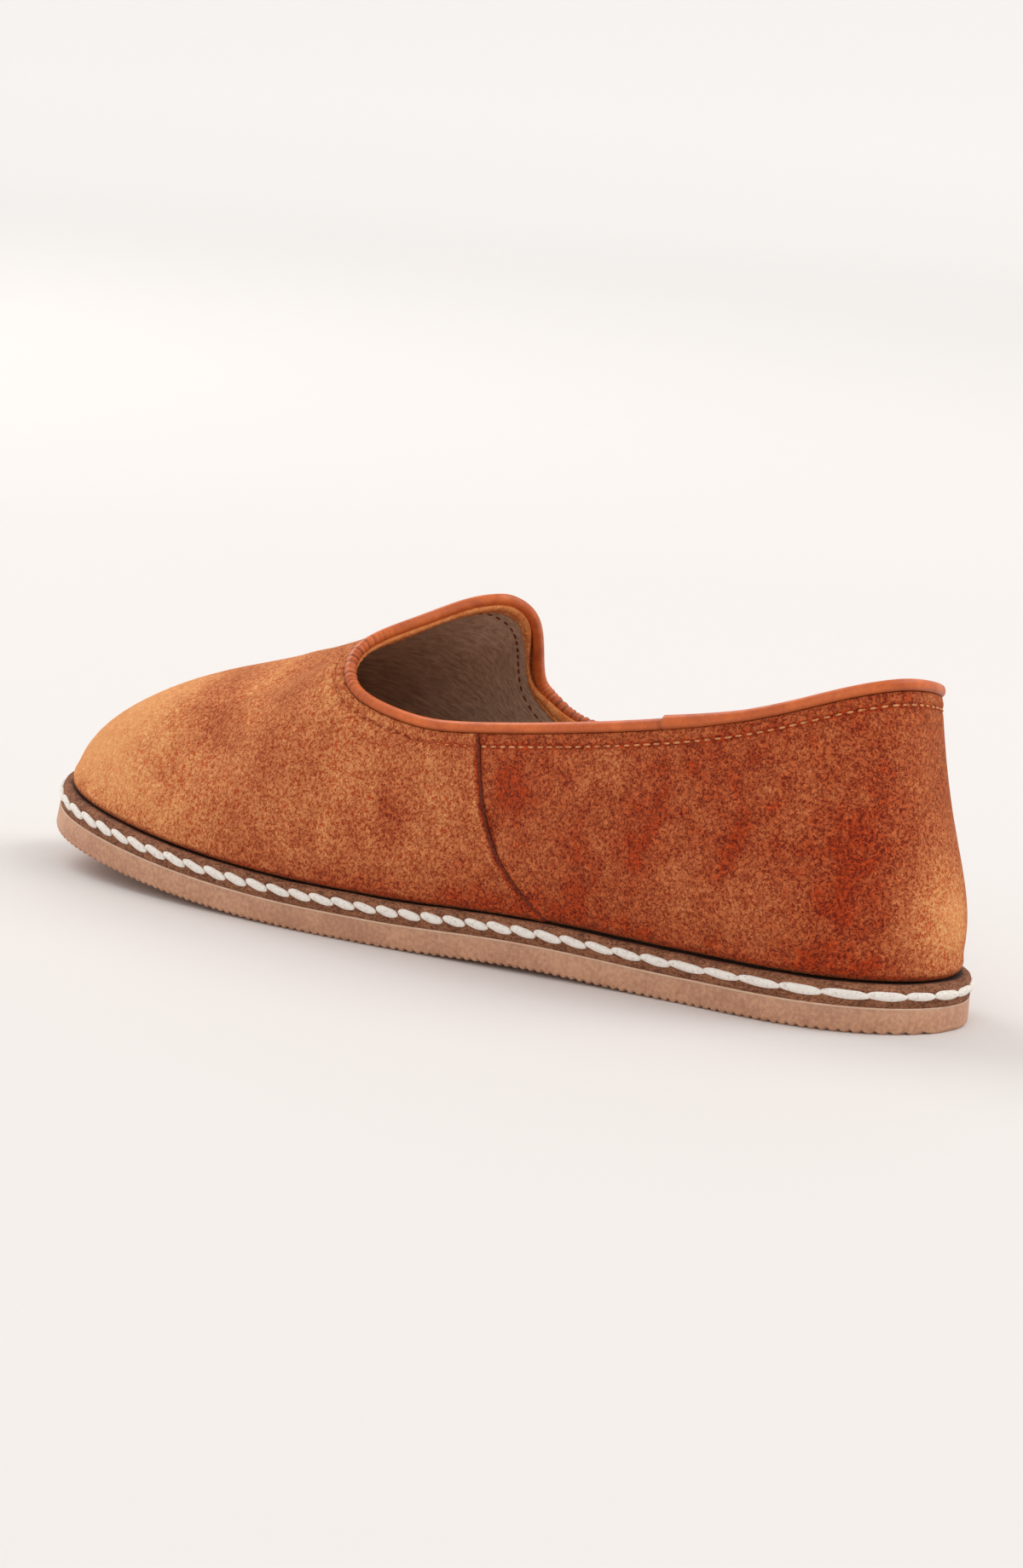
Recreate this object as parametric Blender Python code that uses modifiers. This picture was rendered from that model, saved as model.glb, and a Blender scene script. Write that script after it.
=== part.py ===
# Slip-on shoe, left: a suede upper with a bound topline on a leather midsole and a rubber outsole.
# Metres, +Z up, the toe towards -X and the wearer's outer side towards -Y.
# The origin lies on the floor, under the middle of the sole.
import math

import bpy
import numpy as np

# Driving sizes
LENGTH = 0.285              # outsole, heel to toe
BALL_WIDTH = 0.092          # outsole across the ball
HEEL_HEIGHT = 0.0819        # floor to the suede's edge at the back
SIDE_HEIGHT = 0.0566        # floor to the suede's edge at the lowest of the outer side
TAB_HEIGHT = 0.0876         # floor to the suede's edge at the tip of the tab
TOE_SPRING = 0.01135        # lift of the toe over the floor
WAIST_LIFT = 0.0012         # lift of the waist over the floor
OUTSOLE_THICKNESS = 0.0063
MIDSOLE_THICKNESS = 0.0056
INSOLE_THICKNESS = 0.0025
WELT_LEDGE = 0.0032         # how far the midsole stands out round the foot of the upper
UPPER_WALL = 0.0022         # suede and lining together
SEAM_STEP = 0.0006          # the vamp lies this much over the quarters at the side seams
SEAM_FADE = 0.15            # share of the girth line over which the step dies out at the top
BINDING_RADIUS = 0.0014
BINDING_LAP = 0.0003        # extra radius where the binding's end laps over its start
FLOOR_EDGE = 0.0008         # rounding of the outsole's bottom edge
WELT_EDGE = 0.0012          # rounding of the midsole's upper edge
GAP = 0.0003                # between touching pieces

# Where the sole leaves the floor, as shares of the length
SPRING_START = 0.591
SPRING_POWER = 1.9
WAIST_START = 0.210
WAIST_END = 0.530
# The last point behind the toe where the binding's ends meet, on the outer side
LAP_ALONG = 0.222
LAP_FADE = 0.060

# Mesh fineness
COLUMNS = 92
SEAM_HALF_WIDTH = 0.0004
SOLE_STATIONS = 56
RING_SHARES = (0.0, 0.03, 0.065, 0.10, 0.14, 0.19, 0.26, 0.34, 0.43, 0.53, 0.64, 0.75, 0.86, 0.94, 1.0)

# Girth lines round the shoe, from the heel over the outer side, the toe and the inner side.
# outline_along, top_along: shares of LENGTH from the back of the heel.
# outline_across, top_across: shares of BALL_WIDTH, positive on the outer side.
# heel_lift, tab_lift: the topline's rise from SIDE_HEIGHT towards HEEL_HEIGHT and TAB_HEIGHT.
# name, outline_along, outline_across, top_along, top_across, heel_lift, tab_lift
GIRTH_LINES = (
    ("heel back",       0.000,  0.000, 0.0537, -0.005,  1.00, 0.00),
    ("heel quarter",    0.030,  0.222, 0.0607,  0.130,  1.03, 0.00),
    ("heel side",       0.100,  0.339, 0.1000,  0.234,  0.89, 0.00),
    ("seat",            0.200,  0.360, 0.1965,  0.315,  0.53, 0.00),
    ("side seam",       0.350,  0.404, 0.4470,  0.348,  0.04, 0.00),
    ("waist",           0.450,  0.437, 0.5230,  0.348,  0.00, 0.00),
    ("throat",          0.560,  0.471, 0.5840,  0.345,  0.00, 0.12),
    ("ball",            0.670,  0.479, 0.6140,  0.305,  0.00, 0.32),
    ("forepart",        0.780,  0.451, 0.6190,  0.215,  0.00, 0.535),
    ("toe corner",      0.870,  0.391, 0.5975,  0.112,  0.00, 0.700),
    ("toe side",        0.945,  0.283, 0.5667,  0.038,  0.00, 0.870),
    ("toe tip",         1.000, -0.033, 0.5368, -0.033,  0.00, 0.980),
    ("toe side in",     0.948, -0.345, 0.5263, -0.101,  0.00, 0.955),
    ("toe corner in",   0.870, -0.480, 0.5214, -0.168,  0.00, 0.815),
    ("forepart in",     0.780, -0.539, 0.5325, -0.253,  0.00, 0.52),
    ("ball in",         0.670, -0.509, 0.5390, -0.310,  0.00, 0.25),
    ("throat in",       0.560, -0.408, 0.5250, -0.332,  0.00, 0.06),
    ("waist in",        0.450, -0.333, 0.4737, -0.335, -0.16, 0.00),
    ("side seam in",    0.352, -0.337, 0.3930, -0.332, -0.02, 0.00),
    ("seat in",         0.200, -0.371, 0.2175, -0.308,  0.37, 0.00),
    ("heel side in",    0.100, -0.333, 0.1123, -0.234,  0.74, 0.00),
    ("heel quarter in", 0.030, -0.213, 0.0667, -0.136,  0.90, 0.00),
)

# Three points of each girth line between the foot of the upper and the topline, alike on both sides:
# the share of the way in plan, the share of the rise, and how far it stands out, over BALL_WIDTH.
GIRTH_PROFILES = {
    "heel back":    ((0.00, 0.14, 0.007), (0.23, 0.40, 0.000), (0.68, 0.68, 0.000)),
    "heel quarter": ((0.00, 0.14, 0.014), (0.25, 0.40, 0.010), (0.68, 0.69, 0.004)),
    "heel side":    ((0.00, 0.14, 0.022), (0.35, 0.40, 0.026), (0.70, 0.70, 0.015)),
    "seat":         ((0.10, 0.16, 0.028), (0.45, 0.42, 0.036), (0.75, 0.72, 0.022)),
    "side seam":    ((0.31, 0.15, 0.026), (0.66, 0.40, 0.038), (0.88, 0.74, 0.026)),
    "waist":        ((0.17, 0.18, 0.022), (0.50, 0.45, 0.028), (0.80, 0.76, 0.017)),
    "throat":       ((0.05, 0.20, 0.020), (0.30, 0.50, 0.018), (0.65, 0.78, 0.010)),
    "ball":         ((0.00, 0.20, 0.018), (0.20, 0.50, 0.010), (0.60, 0.80, 0.006)),
    "forepart":     ((0.00, 0.12, 0.010), (0.18, 0.37, 0.008), (0.55, 0.705, 0.004)),
    "toe corner":   ((0.00, 0.06, -0.003), (0.146, 0.366, 0.004), (0.53, 0.648, 0.000)),
    "toe side":     ((0.00, 0.052, -0.006), (0.146, 0.346, 0.000), (0.53, 0.628, 0.000)),
    "toe tip":      ((0.00, 0.052, -0.007), (0.146, 0.346, 0.000), (0.53, 0.628, 0.000)),
}
SEAM_LINES = ("side seam", "side seam in")


def clear_scene():
    for obj in list(bpy.data.objects):
        bpy.data.objects.remove(obj, do_unlink=True)


def spline_bends(matrix, steps, rows):
    """Second derivatives of a cubic spline, from its matrix and its steps' slopes."""
    return np.linalg.solve(matrix, rows)


def spline_value(low, high, bend_low, bend_high, share, step):
    """One span of a cubic spline, at a share of its step."""
    rest = 1.0 - share
    straight = rest * low + share * high
    bent = (rest ** 3 - rest) * bend_low + (share ** 3 - share) * bend_high
    return straight + bent * step ** 2 / 6.0


def closed_spline(knots, period, values):
    """A periodic cubic spline through rows of values."""
    values = np.asarray(values, float)
    count = len(knots)
    steps = np.diff(np.append(knots, knots[0] + period))
    slopes = (np.roll(values, -1, axis=0) - values) / steps[:, None]
    matrix = np.zeros((count, count))
    for i in range(count):
        matrix[i, i] += 2.0 * (steps[i - 1] + steps[i])
        matrix[i, i - 1] += steps[i - 1]
        matrix[i, (i + 1) % count] += steps[i]
    bends = spline_bends(matrix, steps, 6.0 * (slopes - np.roll(slopes, 1, axis=0)))

    def at(places):
        places = np.mod(np.asarray(places, float) - knots[0], period) + knots[0]
        low = np.clip(np.searchsorted(knots, places, side="right") - 1, 0, count - 1)
        high = (low + 1) % count
        step = steps[low][:, None]
        share = (places - knots[low])[:, None] / step
        return spline_value(values[low], values[high], bends[low], bends[high], share, step)

    return at


def open_spline(points, shares):
    """A natural cubic spline through points, read at shares of its chord length."""
    points = np.asarray(points, float)
    count = len(points)
    places = np.append(0.0, np.cumsum(np.linalg.norm(np.diff(points, axis=0), axis=1)))
    steps = np.diff(places)
    matrix = np.eye(count)
    rows = np.zeros_like(points)
    for i in range(1, count - 1):
        matrix[i, i - 1:i + 2] = (steps[i - 1], 2.0 * (steps[i - 1] + steps[i]), steps[i])
        after = (points[i + 1] - points[i]) / steps[i]
        before = (points[i] - points[i - 1]) / steps[i - 1]
        rows[i] = 6.0 * (after - before)
    bends = spline_bends(matrix, steps, rows)
    wanted = np.asarray(shares) * places[-1]
    low = np.clip(np.searchsorted(places, wanted, side="right") - 1, 0, count - 2)
    step = steps[low][:, None]
    share = (wanted - places[low])[:, None] / step
    return spline_value(points[low], points[low + 1], bends[low], bends[low + 1], share, step)


def sole_lift(along):
    """Height of the outsole's underside over the floor."""
    share = np.asarray(along) / LENGTH
    toe = np.clip(share - SPRING_START, 0.0, None) / (1.0 - SPRING_START)
    waist = np.clip((share - WAIST_START) / (WAIST_END - WAIST_START), 0.0, 1.0)
    return TOE_SPRING * toe ** SPRING_POWER + WAIST_LIFT * np.sin(math.pi * waist) ** 2


def seam_step(shares):
    """How far the vamp stands over the quarters: it dies out below the binding."""
    return SEAM_STEP * np.clip((1.0 - np.asarray(shares)) / SEAM_FADE, 0.0, 1.0)


class Last:
    """The form that the shoe is built on, in along, across and up."""

    def __init__(self):
        outline = [(row[1] * LENGTH, row[2] * BALL_WIDTH) for row in GIRTH_LINES]
        ring = np.array(outline + outline[:1])
        chords = np.append(0.0, np.cumsum(np.linalg.norm(np.diff(ring, axis=0), axis=1)))
        self.knots = chords[:-1]
        self.period = chords[-1]
        self.outline_at = closed_spline(self.knots, self.period, outline)
        self.girth_at = closed_spline(self.knots, self.period, [self.girth_row(row) for row in GIRTH_LINES])
        dense = self.outline_at(np.linspace(0.0, self.period, 2000))
        dense[:, 0] += self.lean(dense[:, 0], FLOOR_EDGE)
        self.middle = (dense.min(axis=0) + dense.max(axis=0)) / 2.0

    def lean(self, along, height):
        """The shift along that keeps the sole's side square to its lifted underside."""
        near = 1e-4
        slope = (sole_lift(along + near) - sole_lift(along - near)) / (2.0 * near)
        return slope * (OUTSOLE_THICKNESS + GAP + MIDSOLE_THICKNESS - height)

    def girth_row(self, row):
        name, _, _, top_along, top_across, heel_lift, tab_lift = row
        rise = heel_lift * (HEEL_HEIGHT - SIDE_HEIGHT) + tab_lift * (TAB_HEIGHT - SIDE_HEIGHT)
        values = [top_along * LENGTH, top_across * BALL_WIDTH, SIDE_HEIGHT + rise]
        for way, up, out in GIRTH_PROFILES[name.replace(" in", "")]:
            values += [way, up, out * BALL_WIDTH]
        return values

    def place_of(self, name):
        """The place of a girth line along the outline."""
        return self.knots[[row[0] for row in GIRTH_LINES].index(name)]

    def outline(self, places, inset=0.0):
        """Points of the outline, moved inwards by the inset, and their outward directions."""
        near = 1e-4
        way = self.outline_at(places + near) - self.outline_at(places - near)
        way /= np.linalg.norm(way, axis=1, keepdims=True)
        outward = np.stack((-way[:, 1], way[:, 0]), axis=1)
        return self.outline_at(places) - outward * inset, outward

    def stations(self, count, inset=0.0):
        """A ring with its points in pairs across the shoe, heel and toe points single."""
        dense = np.linspace(0.0, self.period, 4001)[:-1]
        ring, _ = self.outline(dense, inset)
        heel = int(ring[:, 0].argmin())
        ring = np.roll(ring, -heel, axis=0)
        toe = int(ring[:, 0].argmax())
        outer = ring[:toe + 1]
        inner = np.vstack((ring[toe:], ring[:1]))[::-1]
        along = (1.0 - np.cos(np.linspace(0.0, math.pi, count + 1))) / 2.0
        along = ring[0, 0] + along * (ring[toe, 0] - ring[0, 0])
        outer_across = np.interp(along, np.maximum.accumulate(outer[:, 0]), outer[:, 1])
        inner_across = np.interp(along, np.maximum.accumulate(inner[:, 0]), inner[:, 1])
        outer_side = np.stack((along, outer_across), axis=1)
        inner_side = np.stack((along, inner_across), axis=1)
        return np.vstack((outer_side, inner_side[-2:0:-1]))

    def upper_foot(self, along):
        """Height of the midsole's top, where the upper stands."""
        return sole_lift(along) + OUTSOLE_THICKNESS + GAP + MIDSOLE_THICKNESS + GAP

    def upper_rings(self, places, shares):
        """Rings of the upper's outer face, from its foot to the topline."""
        foot, outward = self.outline(places, WELT_LEDGE)
        foot_height = self.upper_foot(foot[:, 0])
        girth = self.girth_at(places)
        vamp = self.in_vamp(places)
        columns = []
        for i in range(len(places)):
            start = np.append(foot[i], foot_height[i])
            top = girth[i, :3]
            points = [start]
            for way, up, out in girth[i, 3:].reshape(3, 3):
                point = start + (top - start) * np.array((way, way, up))
                point[:2] += outward[i] * out
                points.append(point)
            points.append(top)
            column = open_spline(points, shares)
            column[:, :2] += outward[i] * vamp[i] * seam_step(shares)[:, None]
            # The foot is upright, so that the wall's inner face stays over the midsole
            column[0, :2] = column[1, :2]
            columns.append(column)
        return np.array(columns).transpose(1, 0, 2)

    def in_vamp(self, places):
        """1 on the vamp, between the side seams over the toe, and 0 on the quarters."""
        first, last = (self.place_of(name) for name in SEAM_LINES)
        return ((places > first) & (places < last)).astype(float)

    def columns(self, count):
        """Places round the shoe, with two close ones at each side seam."""
        places = list(np.linspace(0.0, self.period, count, endpoint=False))
        for name in SEAM_LINES:
            seam = self.place_of(name)
            nearest = min(places, key=lambda place: abs(place - seam))
            places.remove(nearest)
            places += [seam - SEAM_HALF_WIDTH, seam + SEAM_HALF_WIDTH]
        return np.array(sorted(places))

    def to_frame(self, points):
        """From along, across and up to the part's own frame."""
        points = np.asarray(points, float)
        frame = points.copy()
        frame[..., 0] = self.middle[0] - points[..., 0]
        frame[..., 1] = self.middle[1] - points[..., 1]
        return frame


def material(name, colour, roughness, metallic=0.0):
    mat = bpy.data.materials.new(name)
    mat.use_nodes = True
    shader = mat.node_tree.nodes["Principled BSDF"]
    shader.inputs["Base Color"].default_value = (*colour, 1.0)
    shader.inputs["Roughness"].default_value = roughness
    shader.inputs["Metallic"].default_value = metallic
    return mat


def mesh_object(name, points, faces, mat, collection):
    mesh = bpy.data.meshes.new(name)
    mesh.from_pydata([tuple(point) for point in points], [], faces)
    mesh.update()
    mesh.shade_smooth()
    mesh.materials.append(mat)
    obj = bpy.data.objects.new(name, mesh)
    collection.objects.link(obj)
    return obj


def band_faces(rings, count):
    """Quads between closed rings of equal count, facing outwards where rings go upwards."""
    faces = []
    for ring in range(rings - 1):
        for i in range(count):
            nxt = (i + 1) % count
            low = ring * count
            high = low + count
            faces.append((low + i, high + i, high + nxt, low + nxt))
    return faces


def strip_cap(first, count, faces_up):
    """Closes a ring of paired points with strips across the shoe."""
    faces = []
    half = count // 2
    for i in range(half):
        corners = [first + i, first + i + 1, first + (count - i - 1) % count, first + (count - i) % count]
        corners = list(dict.fromkeys(corners))
        faces.append(tuple(corners[::-1] if faces_up else corners))
    return faces


def plate(name, last, layers, mat, collection):
    """A solid between the sole's curved levels: layers of inset and height over the underside."""
    rings = []
    for inset, height in layers:
        ring = last.stations(SOLE_STATIONS, inset)
        level = sole_lift(ring[:, 0]) + height
        ring[:, 0] += last.lean(ring[:, 0], height)
        rings.append(np.column_stack((ring, level)))
    count = len(rings[0])
    points = last.to_frame(np.vstack(rings))
    faces = band_faces(len(rings), count)
    faces += strip_cap(0, count, False)
    faces += strip_cap((len(rings) - 1) * count, count, True)
    obj = mesh_object(name, points, faces, mat, collection)
    obj.data.set_sharp_from_angle(angle=math.radians(40.0))
    return obj


def make_outsole(last, collection):
    mat = material("tan rubber", (0.55, 0.31, 0.19), 0.55)
    top = OUTSOLE_THICKNESS
    layers = ((FLOOR_EDGE, 0.0), (0.0, FLOOR_EDGE), (0.0, top))
    return plate("outsole", last, layers, mat, collection)


def make_midsole(last, collection):
    mat = material("brown board leather", (0.17, 0.09, 0.05), 0.8)
    base = OUTSOLE_THICKNESS + GAP
    top = base + MIDSOLE_THICKNESS
    layers = ((0.0, base), (0.0, top - WELT_EDGE), (WELT_EDGE * 0.3, top - WELT_EDGE * 0.3), (WELT_EDGE, top))
    return plate("welt_midsole", last, layers, mat, collection)


def make_insole(last, collection):
    mat = material("taupe insole leather", (0.20, 0.13, 0.09), 0.7)
    base = OUTSOLE_THICKNESS + GAP + MIDSOLE_THICKNESS + GAP
    edge = WELT_LEDGE + UPPER_WALL + GAP + SEAM_STEP
    layers = ((edge, base), (edge, base + INSOLE_THICKNESS))
    return plate("insole", last, layers, mat, collection)


def make_upper(last, collection):
    mat = material("cognac suede", (0.52, 0.12, 0.02), 0.95)
    places = last.columns(COLUMNS)
    rings = last.upper_rings(places, RING_SHARES)
    points = last.to_frame(rings.reshape(-1, 3))
    obj = mesh_object("upper", points, band_faces(len(RING_SHARES), len(places)), mat, collection)
    wall = obj.modifiers.new("wall", "SOLIDIFY")
    wall.thickness = UPPER_WALL
    wall.offset = -1.0
    wall.use_even_offset = False
    return obj


def binding_path(last):
    """The middle of the binding: over the upper's top edge, in the middle of its wall."""
    places = last.columns(COLUMNS)
    rings = last.upper_rings(places, (0.9, 1.0))
    edge = rings[1]
    rise = edge - rings[0]
    rise /= np.linalg.norm(rise, axis=1, keepdims=True)
    way = np.roll(edge, -1, axis=0) - np.roll(edge, 1, axis=0)
    way /= np.linalg.norm(way, axis=1, keepdims=True)
    inward = np.cross(way, rise)
    inward /= np.linalg.norm(inward, axis=1, keepdims=True)
    rise = np.cross(inward, way)
    return edge + rise * (GAP + BINDING_RADIUS) + inward * UPPER_WALL / 2.0, edge


def make_binding(last, collection):
    mat = material("cognac smooth leather", (0.45, 0.13, 0.04), 0.45)
    path, edge = binding_path(last)
    lap_start = LAP_ALONG * LENGTH
    lap = np.clip(1.0 - (lap_start - edge[:, 0]) / (LAP_FADE * LENGTH), 0.0, 1.0)
    lap[(edge[:, 0] > lap_start) | (edge[:, 1] < 0.0)] = 0.0
    radii = 1.0 + lap * BINDING_LAP / BINDING_RADIUS
    curve = bpy.data.curves.new("topline_binding", "CURVE")
    curve.dimensions = "3D"
    curve.bevel_depth = BINDING_RADIUS
    curve.bevel_resolution = 2
    curve.materials.append(mat)
    spline = curve.splines.new("POLY")
    spline.points.add(len(path) - 1)
    for point, place, radius in zip(spline.points, last.to_frame(path), radii):
        point.co = (*place, 1.0)
        point.radius = radius
    spline.use_cyclic_u = True
    obj = bpy.data.objects.new("topline_binding", curve)
    collection.objects.link(obj)
    return obj


def main():
    clear_scene()
    collection = bpy.data.collections.new("slip_on_shoe")
    bpy.context.scene.collection.children.link(collection)
    last = Last()
    make_outsole(last, collection)
    make_midsole(last, collection)
    make_insole(last, collection)
    make_upper(last, collection)
    make_binding(last, collection)


main()
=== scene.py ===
# The looks of the slip-on shoe, built round the imported model: napped suede with seams and lighter and
# darker patches, partly painted light and shade, a bound topline with raw edges inside, a wrinkled lining,
# and a stitched welt on a rubber sole.
# Metres, +Z up, the toe towards -X and the wearer's outer side towards -Y.
import math

import bpy
import numpy as np
from mathutils import Matrix, Vector


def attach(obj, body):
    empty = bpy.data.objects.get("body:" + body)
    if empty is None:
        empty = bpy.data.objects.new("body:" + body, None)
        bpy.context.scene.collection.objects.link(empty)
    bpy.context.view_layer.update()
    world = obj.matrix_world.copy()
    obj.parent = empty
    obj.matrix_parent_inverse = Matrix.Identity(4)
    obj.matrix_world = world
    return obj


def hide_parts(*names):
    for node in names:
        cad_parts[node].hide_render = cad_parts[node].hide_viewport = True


bl_info = {
    "name": "Slip-on shoe looks",
    "version": (1, 0, 0),
    "blender": (4, 5, 0),
    "location": "View3D > Sidebar > Shoe",
    "description": "Dresses the packed slip-on shoe in suede, leather, thread and rubber",
    "category": "Object",
}

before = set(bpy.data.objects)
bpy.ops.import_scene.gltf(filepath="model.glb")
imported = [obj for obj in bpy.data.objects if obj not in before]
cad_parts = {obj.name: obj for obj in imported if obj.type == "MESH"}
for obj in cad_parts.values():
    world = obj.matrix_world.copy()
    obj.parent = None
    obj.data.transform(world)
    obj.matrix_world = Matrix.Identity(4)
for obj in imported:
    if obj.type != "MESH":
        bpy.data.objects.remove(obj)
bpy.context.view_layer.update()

# The form of the shoe, as the solids have it
LENGTH = 0.285
BALL_WIDTH = 0.092
HEEL_HEIGHT = 0.0819
SIDE_HEIGHT = 0.0566
TAB_HEIGHT = 0.0876
TOE_SPRING = 0.01135
WAIST_LIFT = 0.0012
OUTSOLE_THICKNESS = 0.0063
MIDSOLE_THICKNESS = 0.0056
INSOLE_THICKNESS = 0.0025
WELT_LEDGE = 0.0032
UPPER_WALL = 0.0022
GAP = 0.0003
SPRING_START = 0.591
SPRING_POWER = 1.9
WAIST_START = 0.210
WAIST_END = 0.530

# name, outline_along, outline_across, top_along, top_across, heel_lift, tab_lift
GIRTH_LINES = (
    ("heel back",       0.000,  0.000, 0.0537, -0.005,  1.00, 0.00),
    ("heel quarter",    0.030,  0.222, 0.0607,  0.130,  1.03, 0.00),
    ("heel side",       0.100,  0.339, 0.1000,  0.234,  0.89, 0.00),
    ("seat",            0.200,  0.360, 0.1965,  0.315,  0.53, 0.00),
    ("side seam",       0.350,  0.404, 0.4470,  0.348,  0.04, 0.00),
    ("waist",           0.450,  0.437, 0.5230,  0.348,  0.00, 0.00),
    ("throat",          0.560,  0.471, 0.5840,  0.345,  0.00, 0.12),
    ("ball",            0.670,  0.479, 0.6140,  0.305,  0.00, 0.32),
    ("forepart",        0.780,  0.451, 0.6190,  0.215,  0.00, 0.535),
    ("toe corner",      0.870,  0.391, 0.5975,  0.112,  0.00, 0.700),
    ("toe side",        0.945,  0.283, 0.5667,  0.038,  0.00, 0.870),
    ("toe tip",         1.000, -0.033, 0.5368, -0.033,  0.00, 0.980),
    ("toe side in",     0.948, -0.345, 0.5263, -0.101,  0.00, 0.955),
    ("toe corner in",   0.870, -0.480, 0.5214, -0.168,  0.00, 0.815),
    ("forepart in",     0.780, -0.539, 0.5325, -0.253,  0.00, 0.52),
    ("ball in",         0.670, -0.509, 0.5390, -0.310,  0.00, 0.25),
    ("throat in",       0.560, -0.408, 0.5250, -0.332,  0.00, 0.06),
    ("waist in",        0.450, -0.333, 0.4737, -0.335, -0.16, 0.00),
    ("side seam in",    0.352, -0.337, 0.3930, -0.332, -0.02, 0.00),
    ("seat in",         0.200, -0.371, 0.2175, -0.308,  0.37, 0.00),
    ("heel side in",    0.100, -0.333, 0.1123, -0.234,  0.74, 0.00),
    ("heel quarter in", 0.030, -0.213, 0.0667, -0.136,  0.90, 0.00),
)
# name: three points of the share of the way in plan, the share of the rise, and outwards over BALL_WIDTH
GIRTH_PROFILES = {
    "heel back":    ((0.00, 0.14, 0.007), (0.23, 0.40, 0.000), (0.68, 0.68, 0.000)),
    "heel quarter": ((0.00, 0.14, 0.014), (0.25, 0.40, 0.010), (0.68, 0.69, 0.004)),
    "heel side":    ((0.00, 0.14, 0.022), (0.35, 0.40, 0.026), (0.70, 0.70, 0.015)),
    "seat":         ((0.10, 0.16, 0.028), (0.45, 0.42, 0.036), (0.75, 0.72, 0.022)),
    "side seam":    ((0.31, 0.15, 0.026), (0.66, 0.40, 0.038), (0.88, 0.74, 0.026)),
    "waist":        ((0.17, 0.18, 0.022), (0.50, 0.45, 0.028), (0.80, 0.76, 0.017)),
    "throat":       ((0.05, 0.20, 0.020), (0.30, 0.50, 0.018), (0.65, 0.78, 0.010)),
    "ball":         ((0.00, 0.20, 0.018), (0.20, 0.50, 0.010), (0.60, 0.80, 0.006)),
    "forepart":     ((0.00, 0.12, 0.010), (0.18, 0.37, 0.008), (0.55, 0.705, 0.004)),
    "toe corner":   ((0.00, 0.06, -0.003), (0.146, 0.366, 0.004), (0.53, 0.648, 0.000)),
    "toe side":     ((0.00, 0.052, -0.006), (0.146, 0.346, 0.000), (0.53, 0.628, 0.000)),
    "toe tip":      ((0.00, 0.052, -0.007), (0.146, 0.346, 0.000), (0.53, 0.628, 0.000)),
}
SEAM_LINES = ("side seam", "side seam in")

# Mesh fineness. The suede's rows stand closer at its foot and under the topline: from, to, rows
WALL_COLUMNS = 400
LINING_ROWS = 64
SUEDE_ROWS = ((0.0, 0.08, 11), (0.08, 0.9, 31), (0.9, 1.0, 22))
TOPLINE_COLUMNS = 1500
SOLE_STATIONS = 420
TREAD_STATIONS = 900
OUTLINE_STATIONS = 6000
WELT_STATIONS = 3001
ROW_STATIONS = 1201

# Millimetres from a side seam at which the suede has extra columns
SEAM_COLUMNS = (-2.4, -1.7, -1.2, -0.8, -0.5, -0.3, -0.12, 0.12, 0.3, 0.5, 0.8, 1.2, 1.7, 2.4, 3.2)
MM = 0.001

# The photograph's viewpoint: metres, degrees of roll and millimetres of lens
CAMERA_AT = (0.73398, -1.0116, 0.23135)
CAMERA_AIM = (0.003335, -0.001158, 0.04005)
CAMERA_ROLL = 4.42
CAMERA_LENS = 110.8

# Depths in the wall, from the suede's face: where the suede ends and the lining starts
SUEDE_BACK = 0.0012
LINING_BACK = 0.0014

# The fine rows: how far under the suede's edge, from stitch to stitch, and a stitch's length
TOPLINE_DROP = 0.0033
LINING_DROP = 0.0060
FINE_PITCH = 0.0029
FINE_LENGTH = 0.0019

# The side seams' twisted thread: from turn to turn, and a turn's length and width
SEAM_PITCH = 0.0018
SEAM_LENGTH = 0.0023
SEAM_WIDTH = 0.00105

# A welt stitch reaches a little under the next one, and stands out by half its depth
WELT_STITCH_OVERLAP = 1.09
WELT_STITCH_DEPTH = 0.0016

# The raw edges: how far they reach into the lining, and over the suede's edge behind the binding
RAW_EDGE_SUNK = 0.0003
RAW_EDGE_TOP = 0.0016

# Where the binding is gathered: place and reach as shares of the way round, from the back of the heel
PUCKERS = ((0.335, 0.048), (0.755, 0.055))
PUCKER_DEPTH = 0.00016

# The binding's lapped end on the outer side: its step and how far it fades towards the heel, as shares of
# the length, and how much higher it lies
LAP_ALONG = 0.254
LAP_FADE = 0.080
LAP_LIFT = 0.00035

# The suede's tone grows from its first value towards the toe, partly as its colour and partly as painted
# light on
# the vamp and the toe: from, to and how much. Places are shares of the length
FIRST_TONE = 0.24
TONE_STEPS = ((0.36, 0.56, 0.34), (0.60, 0.80, 0.24), (0.66, 1.04, 0.42))
PATCH_STRENGTH = 1.4
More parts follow.
